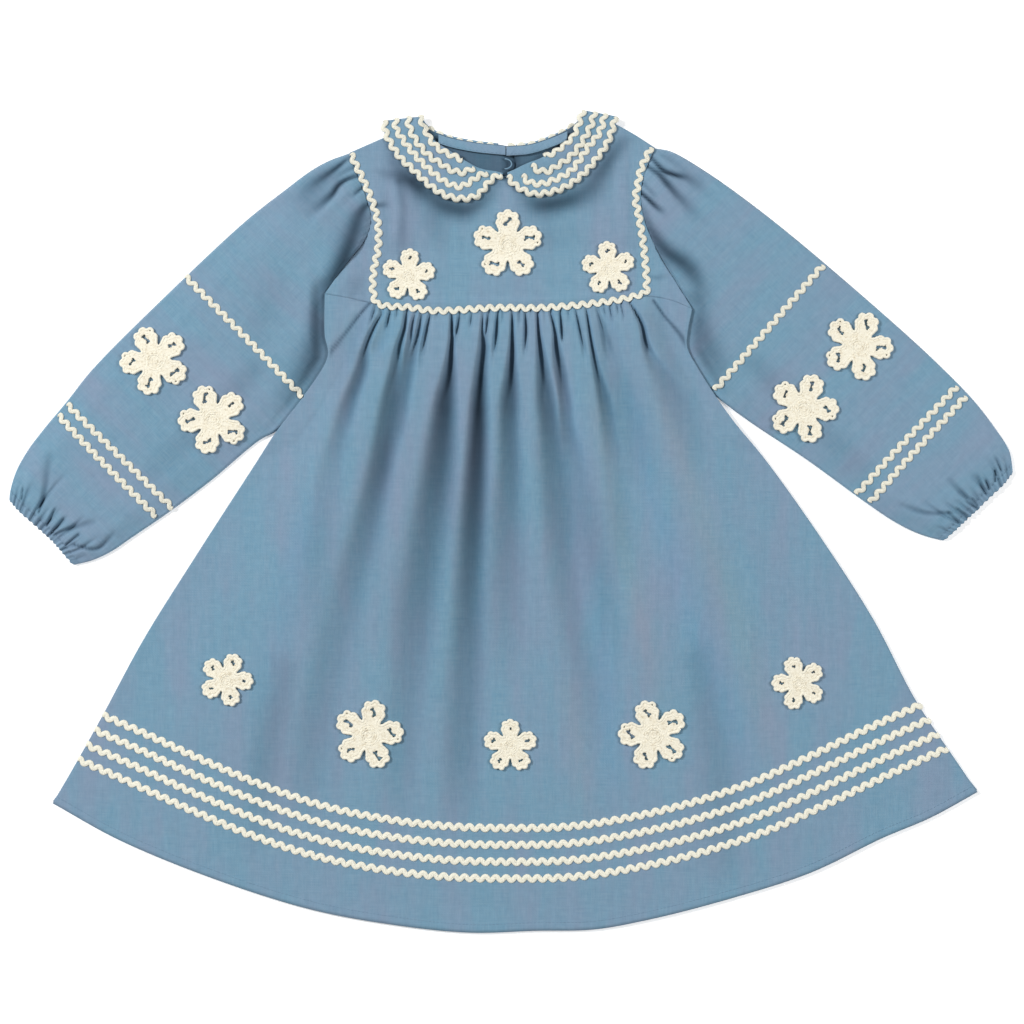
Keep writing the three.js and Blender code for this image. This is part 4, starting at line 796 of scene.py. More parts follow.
sleeves = {
    "rows": 180,
    "topColumns": 116,
    "lowerColumns": 22,
    "length": 390,
    "thick": 0.8,
    "top": 2.7,
    "edge": 1.35,
    "bottom": 0.35,
    "loft": [(0, 1.8), (0.015, 4.2), (0.05, 6.0), (0.12, 5.6), (0.28, 3.8), (0.5, 2.8), (0.72, 3.2),
             (0.86, 4.8), (0.93, 5.2), (0.965, 4.0), (0.98, 2.6), (1, 1.8)],
    "casing": 8,
    "puckers": 17,
    "left": {
        "away": -1,
        "outer": [shoulder["left"], (-145.5, 289), (-160, 281), (-181.5, 265), (-212, 241), (-272, 185),
                  (-336, 121), (-355, 97), (-375, 73), (-387, 57), (-396, 41), (-401, 25), (-402, 17)],
        "tuck": [underarm["left"], (-146, 162), (-140, 138)],
        "inner": [(-140, 138), (-150, 114), (-169, 91), (-187, 73), (-201.5, 65), (-240, 33),
                  (-272.5, 8.5), (-306, -14.5), (-320, -24), (-335, -31), (-351, -35)],
        "wrist": [(-402, 17), (-394, 8), (-380, -4.5), (-367, -16.5), (-351, -35)],
        "grain": 45,
        # painted shade on the sleeve beside the body's edge and in the cap's folds: (x, y, half-width, share)
        "beside": [[(-115, 254, 4, 0.26), (-120, 243, 9, 0.42), (-127, 228, 10, 0.5), (-134, 210, 9, 0.58),
                    (-142, 196, 7, 0.58), (-150, 182, 7, 0.56), (-154, 168, 7, 0.6), (-154, 150, 9, 0.68),
                    (-160, 128, 12, 0.58), (-172, 108, 12, 0.34), (-190, 86, 10, 0)],
                   [(-131, 291.5, 1.5, 0.2), (-139.5, 282.5, 3.2, 0.3), (-149, 273.5, 6, 0.32),
                    (-158, 263, 7, 0.28), (-170, 250, 9, 0.1)],
                   [(-120, 277.5, 1.2, 0.2), (-132, 273.2, 1.5, 0.36), (-138, 268.6, 1.8, 0.36),
                    (-142.5, 261.8, 2.2, 0.34), (-148.2, 256, 3, 0.2), (-158, 247, 4, 0.05)],
                   [(-118.5, 267.5, 1.2, 0.3), (-123, 263.4, 1.3, 0.3), (-127, 259.4, 1.4, 0)],
                   [(-186, 200, 12, 0.04), (-196, 170, 14, 0.12), (-206, 140, 14, 0.04)]],
        "wristFolds": [(0.08, 0.05), (0.18, 0.06), (0.32, 0.12), (0.41, 0.05), (0.485, 0.07), (0.58, 0.07),
                       (0.67, 0.1), (0.795, 0.06), (0.86, 0.1), (0.94, 0.05)],
        "creases": [
            [(-129.6, 291.6, 1.5, -1.4), (-138.4, 284.4, 2, -1.9), (-147.2, 278, 2.8, -1.6),
             (-160.8, 268.4, 4.5, -0.9), (-172, 257.2, 6, -0.2)],
            [(-124.5, 284, 1.4, -1.2), (-133, 279.5, 2, -1.0), (-143, 272, 3, -0.2)],
            [(-120, 277.5, 1.5, -1.4), (-132, 273.2, 1.9, -1.9), (-138, 268.6, 2.3, -2),
             (-142.5, 261.8, 2.9, -1.8), (-148.2, 256, 3.6, -1.4), (-160, 245, 6, -0.4)],
            [(-118.5, 267.5, 1.4, -1.2), (-123, 263.4, 1.6, -1.2), (-127.5, 259, 2, -0.2)],
            [(-113.5, 254, 1.8, -1.6), (-118, 250, 3, -1.5), (-122, 243, 5, -1.1), (-126, 229, 6, -0.9),
             (-133, 211, 6, -0.9), (-141, 196, 6, -0.6)],
            [(-132, 262, 4, 0.9), (-150, 243, 6, 0.8), (-168, 222, 8, 0.2)],
            [(-368.8, 52.4, 3.1, -0.5), (-372.8, 22.8, 1.9, -1.4), (-377.6, 7.6, 1, -1.8)],
            [(-364.8, 9.2, 1.1, -1.4), (-371.2, -2.8, 0.9, -1.8)],
            [(-357.6, 2, 1.2, -1.2), (-368, -9.2, 0.9, -1.8)],
            [(-333.6, -0.4, 2.5, -0.6), (-353.6, -6, 1.5, -1.6), (-365.6, -10.8, 0.9, -1.8)],
            [(-345.6, -10.8, 1.2, -1.4), (-356, -18.8, 0.9, -1.8)],
            [(-318.4, -10.8, 2.2, -0.6), (-331.2, -22, 1.5, -1.6), (-349.6, -18.8, 0.9, -1.6)],
            [(-390.4, 26, 1.1, -1.2), (-391.2, 18, 0.9, -1.4)],
            [(-250, 150, 12, 0.5), (-290, 105, 14, 0.5), (-330, 60, 12, 0.3)],
            [(-205, 120, 9, -0.5), (-245, 78, 11, -0.5), (-290, 35, 10, -0.3)],
        ],
    },
    "right": {
        "away": 1,
        "outer": [shoulder["right"], (128, 296.5), (155, 281), (189, 257), (229.5, 225), (304, 161),
                  (339, 129), (370.5, 97), (389, 73), (399, 57), (401.5, 45), (402, 39)],
        "tuck": [underarm["right"], (140, 156), (134.5, 141)],
        "inner": [(134.5, 141), (144, 118), (163, 101), (189.5, 81), (237.5, 49), (281.5, 17),
                  (305, 1), (321, -7.5), (333, -12), (347, -15.5)],
        "wrist": [(402, 39), (395, 30), (381, 16.5), (366, 2), (347, -15.5)],
        "grain": -45,
        # painted shade on the sleeve beside the body's edge and in the cap's folds: (x, y, half-width, share)
        "beside": [[(102, 256, 2.5, 0.2), (107, 244, 4, 0.26), (114, 229, 5, 0.34), (124, 216, 7, 0.4),
                    (138, 205, 8, 0.42), (148, 193, 8, 0.36), (152, 176, 8, 0.3), (151, 158, 9, 0.46),
                    (155, 142, 11, 0.46), (163, 126, 11, 0.32), (178, 108, 10, 0)],
                   [(112.3, 291.6, 1.3, 0.2), (117, 285.8, 1.5, 0.34), (122.8, 280.3, 1.7, 0.42),
                    (132.8, 276.8, 1.8, 0.4), (141, 274.5, 3, 0.2), (154, 265, 5, 0.04)],
                   [(109.5, 284, 1.4, 0.24), (118.1, 277.8, 1.8, 0.26), (124, 271, 2.6, 0.28),
                    (129.5, 264, 3.2, 0.28), (138.6, 253.8, 4.4, 0.16), (150, 240, 6, 0.04)],
                   [(104, 263, 1.3, 0.3), (111.2, 256.1, 1.5, 0.4), (116, 251.4, 1.6, 0.34),
                    (123, 245.6, 2, 0)]],
        "wristFolds": [(0.07, 0.05), (0.19, 0.06), (0.3, 0.05), (0.36, 0.07), (0.45, 0.05), (0.52, 0.07),
                       (0.6, 0.06), (0.67, 0.08), (0.76, 0.12), (0.88, 0.05)],
        "creases": [
            [(115.6, 298, 1.5, -0.6), (126.7, 290, 2.2, -0.7), (136.4, 282.8, 3, -0.5),
             (148.8, 271.8, 4.5, -0.3)],
            [(112.3, 291.6, 1.4, -1.4), (117, 285.8, 1.8, -1.8), (122.8, 280.3, 2.2, -2),
             (132.8, 276.8, 2.4, -1.8), (141, 274.5, 4, -0.8), (154, 265, 6, -0.2)],
            [(105, 270.5, 1.3, -1), (112.3, 262.9, 1.5, -1), (117, 257.5, 1.8, -0.2)],
            [(109.5, 284, 1.5, -1.4), (118.1, 277.8, 2.2, -1.8), (124, 271, 3, -1.8), (129.5, 264, 3.6, -1.4),
             (138.6, 253.8, 5, -0.8), (150, 240, 7, -0.2)],
            [(104, 263, 1.5, -1.8), (111.2, 256.1, 1.8, -1.8), (116, 251.4, 2.2, -1.4),
             (123, 245.6, 3, -0.4)],
            [(106, 244, 4, -0.4), (114, 229, 5, -1), (124.8, 215.5, 6, -1.2), (142, 203.5, 7, -1),
             (150, 192, 7, -0.4)],
            [(124, 262, 4, 0.9), (146, 232, 6, 0.8), (166, 210, 8, 0.2)],
            [(388, 50, 1.1, -1.2), (392, 40.4, 0.9, -1.8)],
            [(387.2, 40.4, 1.1, -1.4), (387.2, 32.4, 0.9, -1.8)],
            [(372.8, 35.6, 1.6, -1), (380, 22, 1, -1.8)],
            [(380, 32.4, 1.1, -1.2), (382.4, 26, 0.9, -1.6)],
            [(368.8, 18, 1.1, -1.4), (373.6, 12.4, 0.9, -1.8)],
            [(364.8, 15.6, 1.1, -1.2), (372.8, 10.8, 0.9, -1.6)],
            [(356.8, 10, 1.2, -1.4), (364.8, 3.6, 1, -1.8), (368, -0.4, 0.9, -1.8)],
            [(349.6, 6.8, 1.2, -1.2), (358.4, -1.2, 0.9, -1.8)],
            [(312, 13.2, 2.5, -0.5), (330.4, 6.8, 1.9, -1.2), (352.8, 6.8, 1.2, -0.8)],
            [(351.2, 32.4, 2.5, -0.6), (360, 22.8, 1.9, -1.2), (364.8, 18.8, 1.5, -1)],
            [(240, 160, 12, 0.5), (285, 115, 14, 0.5), (330, 68, 12, 0.3)],
            [(195, 125, 9, -0.5), (238, 82, 11, -0.5), (285, 38, 10, -0.3)],
        ],
    },
}


def sleevePlan(sideName):
    # the edges at the body start 0.05 mm clear of it
    s = sleeves[sideName]
    off = 0.05 * s["away"]
    outer, inner = (edgeOf(moved(s[edge][:1], off, 0) + s[edge][1:]) for edge in ("outer", "inner"))
    cap = edgeOf((0.73, moved(armhole[sideName], off, 0)), (0.27, moved(s["tuck"], off, 0)))
    return between(cap, edgeOf(s["wrist"]), outer, inner, 2)


def puckerWave(u):
    return u * sleeves["puckers"] * 2 * np.pi + 2.2 * np.sin(u * 9)


def sleeveTop(sideName, u, v):
    s = sleeves[sideName]
    plan = sleevePlan(sideName)
    xy = plan(u, v)
    zero = np.zeros_like(v)
    width = np.linalg.norm(plan(zero + 1, v) - plan(zero, v), axis=-1)
    fromWrist = (1 - v) * sleeves["length"]
    side = np.minimum(u, 1 - u)
    roundOff = smooth(side, -0.02, 0.16)
    armY = underarm[sideName][1]
    folds = [[(0, at, 1.0, 0.75), (reach * 0.5, at + 0.004, 1.3, 0.7), (reach * 1.2, at - 0.004, 2, 0)]
             for at, reach in s["wristFolds"]]
    press = pressed(folds, u, 1 - v, width)
    underBody = smooth(insideSide(xy), -13, -4) * (1 - smooth(xy[..., 1], armY + 1, armY + 16))
    loft = graded(sleeves["loft"], v) * roundOff * (1 - 0.88 * press)
    creases = 1.5 * creased(xy, s["creases"]) * smooth(side, 0, 0.03)
    loft = loft + creases
    # painted shade in the wrist folds and creases, beside the body's edge and between the casing's puckers
    fold = (press * 0.32 + (-creases / 4.5).clip(0, 0.6)) * smooth(side, 0, 0.03)
    aboveArm = smooth(xy[..., 1], armY - 4, armY + 4)
    fold = fold + creased(xy, s["beside"]) * (1 - smooth(insideSide(xy), 0, 3) * (1 - aboveArm))
    pucker = np.sin(puckerWave(u))
    inCasing = 1 - smooth(fromWrist, sleeves["casing"] - 0.5, sleeves["casing"] + 2.5)
    loft = loft + pucker * 0.6 * inCasing * roundOff
    fold = fold + (-pucker * 0.22 * inCasing).clip(0, 1)
    loft = loft - 0.55 * np.exp(-((fromWrist - sleeves["casing"]) ** 2)) * roundOff
    capPucker = np.sin(u * 140 + 3 * np.sin(u * 17)) * 0.35 * np.exp(-v / 0.014)
    loft = (loft + capPucker * roundOff).clip(0.12, None) * (1 - 0.95 * underBody)
    return sleeves["top"] + loft, fold


sleevePieces = {}
for sideName in ("left", "right"):
    plan = sleevePlan(sideName)
    wristRows = 1 - np.array([0.04, 0.033, 0.027, 0.023, 0.02, 0.017, 0.013, 0.008, 0.003, 0.0])
    stations = np.concatenate([np.linspace(0, 1, sleeves["rows"] - 16) ** 1.15 * 0.955, wristRows])
    tops = np.linspace(0, 1, sleeves["topColumns"])
    lowers = np.linspace(0.985, 0.015, sleeves["lowerColumns"])
    v, u = gridOf(stations, np.concatenate([tops, lowers]))
    isTop = np.arange(u.shape[1]) < sleeves["topColumns"]
    # the drawn-up wrist edge waves a little
    atEdge = smooth(v, 0.985, 1)
    wave = 1.1 * np.sin(puckerWave(u) + 1.2) * atEdge
    outward = unit(plan(u, v.clip(0.02, 1)) - plan(u, v.clip(0.02, 1) - 0.02))
    xy = plan(u, v) - outward * ((0.5 + wave * 0.5) * atEdge)[..., None]
    top, fold = sleeveTop(sideName, u, v)
    side = np.minimum(u, 1 - u)
    top = np.where(side < 0.004, sleeves["edge"], top)
    bottom = sleeves["bottom"] * (1 - smooth(side, 0, 0.05))
    points = np.dstack([xy, np.where(isTop, top, bottom)])
    grain = grainOf(xy, sleeves[sideName]["grain"])
    inward = -sleeves[sideName]["away"] * sleeves["thick"]
    name = "sleeve" + sideName.title()
    sleevePieces[sideName] = shellOf(name, points, inward, grain, chambray, ring=True, fold=fold * isTop)
print("sleeves done")


# Collar halves: they lie round the front neck, fold over the shoulders and run on below the back

collars = {
    "perSection": 10,
    "shares": 26,
    "thick": 0.9,
    "roll": 1.4,
    "lastFront": 10,
    # point on the neck edge, point on the outer edge, height of the cloth's middle
    "left": [
        (-6.5, 278.5, -7, 276, 5.8), (-13, 280, -14, 273.5, 5.8), (-20, 281, -20.5, 266.5, 5.8),
        (-27, 283, -28, 259.5, 5.8), (-33.5, 286.5, -39, 256.5, 5.8), (-42, 291.5, -52.5, 259, 5.8),
        (-50, 297, -66, 267.5, 5.8), (-58, 302, -79.5, 280, 5.8), (-65, 307.5, -90, 290.5, 5.8),
        (-69.5, 313.5, -98, 302.5, 5.8), (-71, 319, -101.5, 312.5, 5.8), (-70.5, 322.6, -101, 318.5, 5),
        (-70, 324, -100, 320.5, 3.2), (-70, 322.6, -100.5, 318.5, 1.4), (-69, 320, -101, 313, 0.6),
        (-62, 314, -95, 300, 0.6), (-48, 309, -80, 281, 0.6), (-30, 305.5, -55, 267, 0.6),
        (-10, 303, -18, 262, 0.6),
    ],
    "right": [
        (-3, 279, -2.6, 276.5, 5.8), (3, 281.5, 1, 269.5, 5.8), (9, 284.5, 6.5, 265, 5.8),
        (15, 287, 17.5, 260.5, 5.8), (22, 289.5, 31.5, 262, 5.8), (31, 294, 45.5, 267.5, 5.8),
        (40, 298.5, 59.5, 278, 5.8), (46.5, 303.5, 70, 290.5, 5.8), (51, 309.5, 78, 302.5, 5.8),
        (53.5, 316, 82, 313, 5.8), (55, 322, 84, 319, 5.8), (57.5, 327.4, 84, 322.5, 5),
        (58, 328.8, 83.5, 324, 3.2), (57.5, 327.4, 83.5, 322.5, 1.4), (56, 324.5, 83, 318, 0.6),
        (51, 318.5, 77, 305, 0.6), (36, 311, 62, 283, 0.6), (17, 304, 38, 268, 0.6), (4, 302, 12, 262, 0.6),
    ],
}


def collarSheet(sideName):
    # places on a collar by section, by share from outer to neck edge and by distance off the cloth
    samples = 20
    rows = curveThrough(collars[sideName], samples)
    last = len(collars[sideName]) - 1
    lastFront = collars["lastFront"]

    def middle(section, share):
        neckX, neckY, outerX, outerY, level = (
            np.interp(section * samples, np.arange(len(rows)), rows[:, k]) for k in range(5))
        onFront = smooth(section, 1, 4) * (1 - smooth(section, lastFront - 1, lastFront + 2))
        roll = collars["roll"] * smooth(share, 0.55, 0.9) * onFront
        edgeDrop = 0.9 * (1 - smooth(share, 0, 0.12)) * (1 - smooth(section, 9, 10.5))
        x, y = outerX + (neckX - outerX) * share, outerY + (neckY - outerY) * share
        return np.stack([x, y, level + roll - edgeDrop], -1)

    def place(section, share, out):
        section, share, out = (np.asarray(a, float) for a in np.broadcast_arrays(section, share, out))
        s = section.clip(0.05, last - 0.05)
        t = share.clip(0.03, 0.97)
        step = 0.04
        alongCut = middle(s + step, t) - middle(s - step, t)
        across = middle(s, t + step * 0.7) - middle(s, t - step * 0.7)
        outward = unit(np.cross(alongCut, across)) * (-1 if sideName == "left" else 1)
        return middle(section, share) + outward * out[..., None]

    return place, last


collarPieces = {}
for sideName in ("left", "right"):
    place, last = collarSheet(sideName)
    v, u = gridOf(np.linspace(0, last, last * collars["perSection"] + 1), collars["shares"])
    lengthAlong = lengthsOf(place(v, u * 0 + 0.5, 0)[:, 0])
    widthAcross = np.linalg.norm(place(v, u * 0 + 1, 0) - place(v, u * 0, 0), axis=-1)
    uv = np.dstack([lengthAlong[:, None] + u * 0, u * widthAcross])
    # the upper side, and then the lower side on the way back
    grid = np.hstack([place(v, u, collars["thick"] / 2), place(v, u, -collars["thick"] / 2)[:, ::-1]])
    uv = np.hstack([uv, uv[:, ::-1]])
    quads = tubeQuads(indexOf(*grid.shape[:2], True))
    name = "collar" + sideName.title()
    collarPieces[sideName] = meshOf(name, grid.reshape(-1, 3), quads, uv.reshape(-1, 2), chambray)
print("collars done")


# Height of the cloth over the floor, as maps that the trims follow

def heightMap(objects):
    # read straight down on a net of 1 mm
    xs = np.arange(-404, 405, 1.0)
    ys = np.arange(-332, 333, 1.0)
    high = np.zeros((len(ys), len(xs)))
    for obj in objects:
        count = len(obj.data.vertices)
        co = np.empty(count * 3, np.float32)
        obj.data.vertices.foreach_get("co", co)
        co = co.reshape(-1, 3) / mm - (0, seat, 0)
        polygons = np.empty(len(obj.data.loops), np.int32)
        obj.data.loops.foreach_get("vertex_index", polygons)
        tree = BVHTree.FromPolygons(co.tolist(), polygons.reshape(-1, 4).tolist())
        low, top = co.min(0), co.max(0)
        for i in np.where((ys >= low[1]) & (ys <= top[1]))[0]:
            for j in np.where((xs >= low[0]) & (xs <= top[0]))[0]:
                hit = tree.ray_cast(Vector((xs[j], ys[i], 30)), Vector((0, 0, -1)))[0]
                if hit is not None and hit.z > high[i, j]:
                    high[i, j] = hit.z
    return xs, ys, high


def spread(values, reach, kind):
    # highest or mean value within reach cells
    out = values.copy()
    for axis in (0, 1):
        stack = [np.roll(out, k, axis) for k in range(-reach, reach + 1)]
        out = np.max(stack, 0) if kind == "highest" else np.mean(stack, 0)
    return out


def reader(xs, ys, values):
    # height at any place, between the cells of a map
    def at(x, y):
        fx = ((np.asarray(x) - xs[0]) / (xs[1] - xs[0])).clip(0, len(xs) - 1.001)
        fy = ((np.asarray(y) - ys[0]) / (ys[1] - ys[0])).clip(0, len(ys) - 1.001)
        i, j = fy.astype(int), fx.astype(int)
        a, b = fy - i, fx - j
        low = values[i, j] * (1 - b) + values[i, j + 1] * b
        high = values[i + 1, j] * (1 - b) + values[i + 1, j + 1] * b
        return low * (1 - a) + high * a

    return at


clothTops = [skirtFrontPiece, yokeFrontPiece, sleevePieces["left"], sleevePieces["right"]]
xs, ys, high = heightMap(clothTops)
underTape = reader(xs, ys, spread(spread(high, 1, "highest"), 1, "mean"))
underFlower = reader(xs, ys, spread(spread(high, 2, "highest"), 5, "mean"))
onCloth = reader(xs, ys, high)
xs, ys, high = heightMap(list(collarPieces.values()))
high = np.where(high > 3, high, 0)
onCollar = reader(xs, ys, spread(spread(high, 2, "highest"), 1, "mean"))
print("height map done")


# Wavy braid: a plaited tape that sways from side to side

braidTape = {
    "pitch": 8.3,
    "sway": 1.6,
    "half": 1.9,
    "hemHalf": 2.166,
    "rise": 0.95,
    "above": 0.15,
    "ringsPerWave": 14,
    "section": [(-1, 0.0), (-0.86, 0.62), (-0.45, 0.95), (0.0, 1.0), (0.45, 0.95), (0.86, 0.62), (1, 0.0),
                (0, -0.1)],
}


def tapeOf(name, length, place):
    # place(s, across, rise) gives points for arrays of distance along, across and up
    t = braidTape
    # the hem's braid takes the tape with painted light
    half, cotton = (t["hemHalf"], tapePale) if "Hem" in name else (t["half"], tapeCotton)
    waves = round(length / t["pitch"])
    count = waves * t["ringsPerWave"] + 1
    s = np.linspace(0, length, count)
    phase = s / length * waves * 2 * np.pi
    sway = t["sway"] * np.sin(phase) / (1 + 0.12 * np.sin(phase) ** 2) * 1.06
    slope = np.gradient(sway, s)
    turn = np.arctan(slope) * 0.72
    rings = []
    section = np.array(t["section"])
    for across, rise in section:
        off = across * half
        shifted = (s - off * np.sin(turn)).clip(0, length)
        rings.append(place(shifted, sway + off * np.cos(turn) * 1.02, rise * t["rise"]))
    quads = tubeQuads(indexOf(count, len(section), True))
    uv = np.stack(np.meshgrid(s, section[:, 0] * half, indexing="ij"), -1)
    return meshOf(name, np.stack(rings, 1).reshape(-1, 3), quads, uv.reshape(-1, 2), cotton)


def tapeOver(name, points, aside=0.0, heights=underTape):
    # braid along a line of points, or at a distance to its side, over a height map
    line = curveThrough(points, 60)
    tangent = unit(np.gradient(line, axis=0))
    line = line + np.stack([-tangent[:, 1], tangent[:, 0]], 1) * aside
    lengths = lengthsOf(line)
    tangent = unit(np.gradient(line, axis=0))

    def place(s, across, rise):
        x, y, tx, ty = (np.interp(s, lengths, values) for values in (*line.T, *tangent.T))
        x, y = x - ty * across, y + tx * across
        return np.stack([x, y, heights(x, y) + braidTape["above"] + rise], -1)

    return tapeOf(name, lengths[-1], place)


yokeBraid = [
    (-128.3, 294.5), (-124, 285), (-120, 277), (-112.5, 260), (-107.2, 243), (-106, 231), (-106.5, 218),
    (-110, 200), (-110.4, 184), (-107.5, 175), (-100, 172.5), (-82, 171.3), (-60.5, 168.5), (-14, 170.8),
    (28, 171), (75, 175.6), (98, 180), (108, 184), (108.6, 190), (107, 212), (105, 228), (102, 245),
    (99.6, 258), (101.5, 270), (104, 282), (109, 293), (112, 299.5),
]
sleeveRows = {
    "left": [
        [(-261, 196.5), (-215, 150), (-166.4, 99.8)],
        [(-355.5, 94), (-313, 52.5), (-270.4, 10.4)],
        [(-362.5, 85.5), (-323.5, 44.5), (-283.5, 4)],
    ],
    "right": [
        [(250, 205.5), (207, 156), (162.8, 105)],
        [(357, 108.5), (308.5, 57.5), (276.2, 21.6)],
        [(364, 100.5), (318, 51), (287, 15)],
    ],
}
hemRow = [
    (-327.2, -154.9), (-288.8, -171.6), (-240.8, -193.2), (-192.8, -213.2), (-144.8, -228.8), (-96.8, -238.4),
    (-48.8, -243.8), (0, -245.2), (48, -243.8), (95.2, -236.6), (143.2, -225.2), (191.2, -209.2),
    (239.2, -187.6), (287.2, -164.8), (329.3, -146.1),
]
hemSpacing = 13.5
hemGain = 1.2  # each lower row ends this much farther out
collarRows = {
    "left": [
        [(-7, 277), (-13.6, 274.8), (-20, 268.4), (-26.4, 261), (-38.4, 258), (-52, 260.6), (-64.8, 268.6),
         (-78.4, 281.4), (-88.6, 291), (-96.6, 303), (-100.4, 312), (-101.5, 321.2)],
        [(-18.6, 278.8), (-26.6, 275.5), (-33.2, 270.9), (-41.1, 267.6), (-51.8, 271), (-61, 277.6),
         (-70.4, 286.2), (-79.6, 296.1), (-87.5, 306.8), (-91.5, 313.2), (-92.5, 322.6)],
        [(-29.2, 282.8), (-38.5, 278.8), (-47.8, 280.8), (-55.7, 285.6), (-63.7, 290.8), (-70, 296.8),
         (-76.6, 305.4), (-80.6, 313.3), (-82.8, 324.2)],
        [(-38.5, 288.6), (-46.4, 292), (-55.7, 296.4), (-62.8, 302.8), (-67.4, 310.8), (-71.4, 319.9),
         (-73.4, 324.8)],
    ],
    "right": [
        [(-3, 276.4), (1.4, 270.6), (6.6, 266.6), (18.4, 261.8), (32, 263.4), (44.8, 268.2), (58.4, 278.6),
         (68.8, 290.6), (76.8, 302.4), (80.8, 313), (83.6, 323.8)],
        [(8.5, 276.5), (14, 271.5), (23.9, 269.8), (35.8, 273.5), (47.8, 280.2), (55.4, 289.8),
         (62.6, 300.4), (69.6, 309), (73, 317.3), (74.8, 326.6)],
        [(16, 284.6), (21.5, 280.6), (29.8, 280), (37, 284.2), (45.6, 289.8), (53.2, 298),
         (60, 308.6), (64.2, 317.3), (66.8, 328)],
        [(26, 291.8), (34, 294.6), (41, 299.8), (47.8, 305.8), (52.2, 313), (55, 320.3), (57.8, 329)],
    ],
}
# the collar's back falls away behind the neckline, and only its inner braid shows over the edge
backNeck = {
    "left": [(-66.5, 314.6), (-57, 309.6), (-45, 305.4), (-29, 302.4), (-10.5, 300.4)],
    "right": [(-2.6, 300.2), (15, 301.6), (32, 307.2), (44, 313), (54, 319.5)],
}


def backLevel(x, y):
    return x * 0 + 0.3


def braidRows(panel, sides, heights):
    for sideName, rows in sides.items():
        for number, points in enumerate(rows, 1):
            name = f"braid{panel.title()}{sideName.title()}{number}"
            braids[f"braid_{panel}_{sideName}_{number}"] = tapeOver(name, points, 0, heights)


braids = {"braid_yoke": tapeOver("braidYoke", yokeBraid)}
braidRows("sleeve", sleeveRows, underTape)
for number in range(4):
    gain = hemGain * number
    (x0, y0), (x1, y1) = hemRow[0], hemRow[-1]
    points = [(x0 - gain, y0 + gain / 2)] + hemRow[1:-1] + [(x1 + gain, y1 + gain / 2)]
    braids[f"braid_hem_{number + 1}"] = tapeOver(f"braidHem{number + 1}", points, -number * hemSpacing)
braidRows("collar", collarRows, onCollar)
backBraids = {}
for sideName, points in backNeck.items():
    backBraids[sideName] = tapeOver("braidBack" + sideName.title(), points, 0, backLevel)
print("braids done")


# Neck binding, loop and button at the back opening

binding = {
    "width": 7.2,
    "top": 4.9,
    "thick": 0.8,
    "stitchUp": 1.2,
    "left": [(-58, 309.6), (-49, 306.7), (-29, 302.7), (-4.3, 300.2)],
    "right": [(-3.7, 299.7), (15, 301.2), (35, 307.7), (45, 312)],
}
bindingPieces = {}
for sideName in ("left", "right"):
    upper = edgeOf(binding[sideName])
    v, u = gridOf(13, 60)
    xy = upper(u) - np.stack([u * 0, v * binding["width"]], -1)
    bulge = 0.3 * np.sin(np.pi * v) + 0.12 * np.sin(u * 60 + 2 * np.sin(u * 11)) * np.sin(np.pi * v)
    top = np.dstack([xy, binding["top"] + bulge])
    name = "neckBinding" + sideName.title()
    bindingPieces[sideName] = shellOf(name, top, binding["thick"], grainOf(xy, 45), chambray)


def tubeOf(name, line, radius, sides, material):
    # a round cord along a line of points
    tangent = unit(np.gradient(line, axis=0))
    across = unit(np.cross(tangent, (0, 0, 1.0)))
    up = np.cross(across, tangent)
    angles = np.arange(sides) / sides * 2 * np.pi
    turned = np.cos(angles)[None, :, None] * across[:, None] + np.sin(angles)[None, :, None] * up[:, None]
    points = line[:, None] + radius * turned
    uv = np.stack(np.meshgrid(lengthsOf(line), angles * radius, indexing="ij"), -1)
    quads = tubeQuads(indexOf(len(line), sides, True))
    return meshOf(name, points.reshape(-1, 3), quads, uv.reshape(-1, 2), material)


loop = {"centre": (centreBack - 1, 286, 4.4), "reach": 5.5, "halfWidth": 4, "radius": 0.55}
angles = np.linspace(math.pi / 2, -math.pi / 2, 30)
bow = np.stack([loop["reach"] * np.cos(angles), loop["halfWidth"] * np.sin(angles), 0 * angles], 1)
loopPiece = tubeOf("buttonLoop", loop["centre"] + bow, loop["radius"], 8, chambray)

button = {
    "centre": (centreBack + 2, 296.5, 0),
    "sides": 32,
    # radius and height, from the middle of the top to the middle of the underside
    "profile": [(0.02, 1.0), (1.4, 1.0), (2.6, 1.15), (3.5, 1.2), (4.0, 0.85), (4.0, 0.4), (3.6, 0.1),
                (0.02, 0.1)],
}
angles = np.arange(button["sides"]) / button["sides"] * 2 * np.pi
rings = [np.stack([radius * np.cos(angles), radius * np.sin(angles), height + 0 * angles], 1)
         for radius, height in button["profile"]]
quads = tubeQuads(indexOf(len(rings), button["sides"], True))
buttonPiece = meshOf("backButton", np.vstack(rings) + button["centre"], quads, None, buttonShell)
print("neck done")


# Geometry Nodes: stitches along seams, and crochet stitches round the heart of a flower

def nodeGroup(name, inputs):
    group = bpy.data.node_groups.new(name, "GeometryNodeTree")
    group.interface.new_socket("Geometry", in_out="INPUT", socket_type="NodeSocketGeometry")
    sockets = {}
    for label, kind in inputs.items():
        sockets[label] = group.interface.new_socket(label, in_out="INPUT", socket_type=kind).identifier
    group.interface.new_socket("Geometry", in_out="OUTPUT", socket_type="NodeSocketGeometry")
    return group, group.nodes.new("NodeGroupInput"), group.nodes.new("NodeGroupOutput"), sockets


def strand(tree, start, middle, end, radius, resolution, sides):
    values = {"Resolution": resolution, "Start": start, "Middle": middle, "End": end}
    curve = put(tree, "GeometryNodeCurveQuadraticBezier", values)
    circle = put(tree, "GeometryNodeCurvePrimitiveCircle", {"Resolution": sides, "Radius": radius})
    return put(tree, "GeometryNodeCurveToMesh", {"Curve": curve, "Profile Curve": circle, "Fill Caps": True})


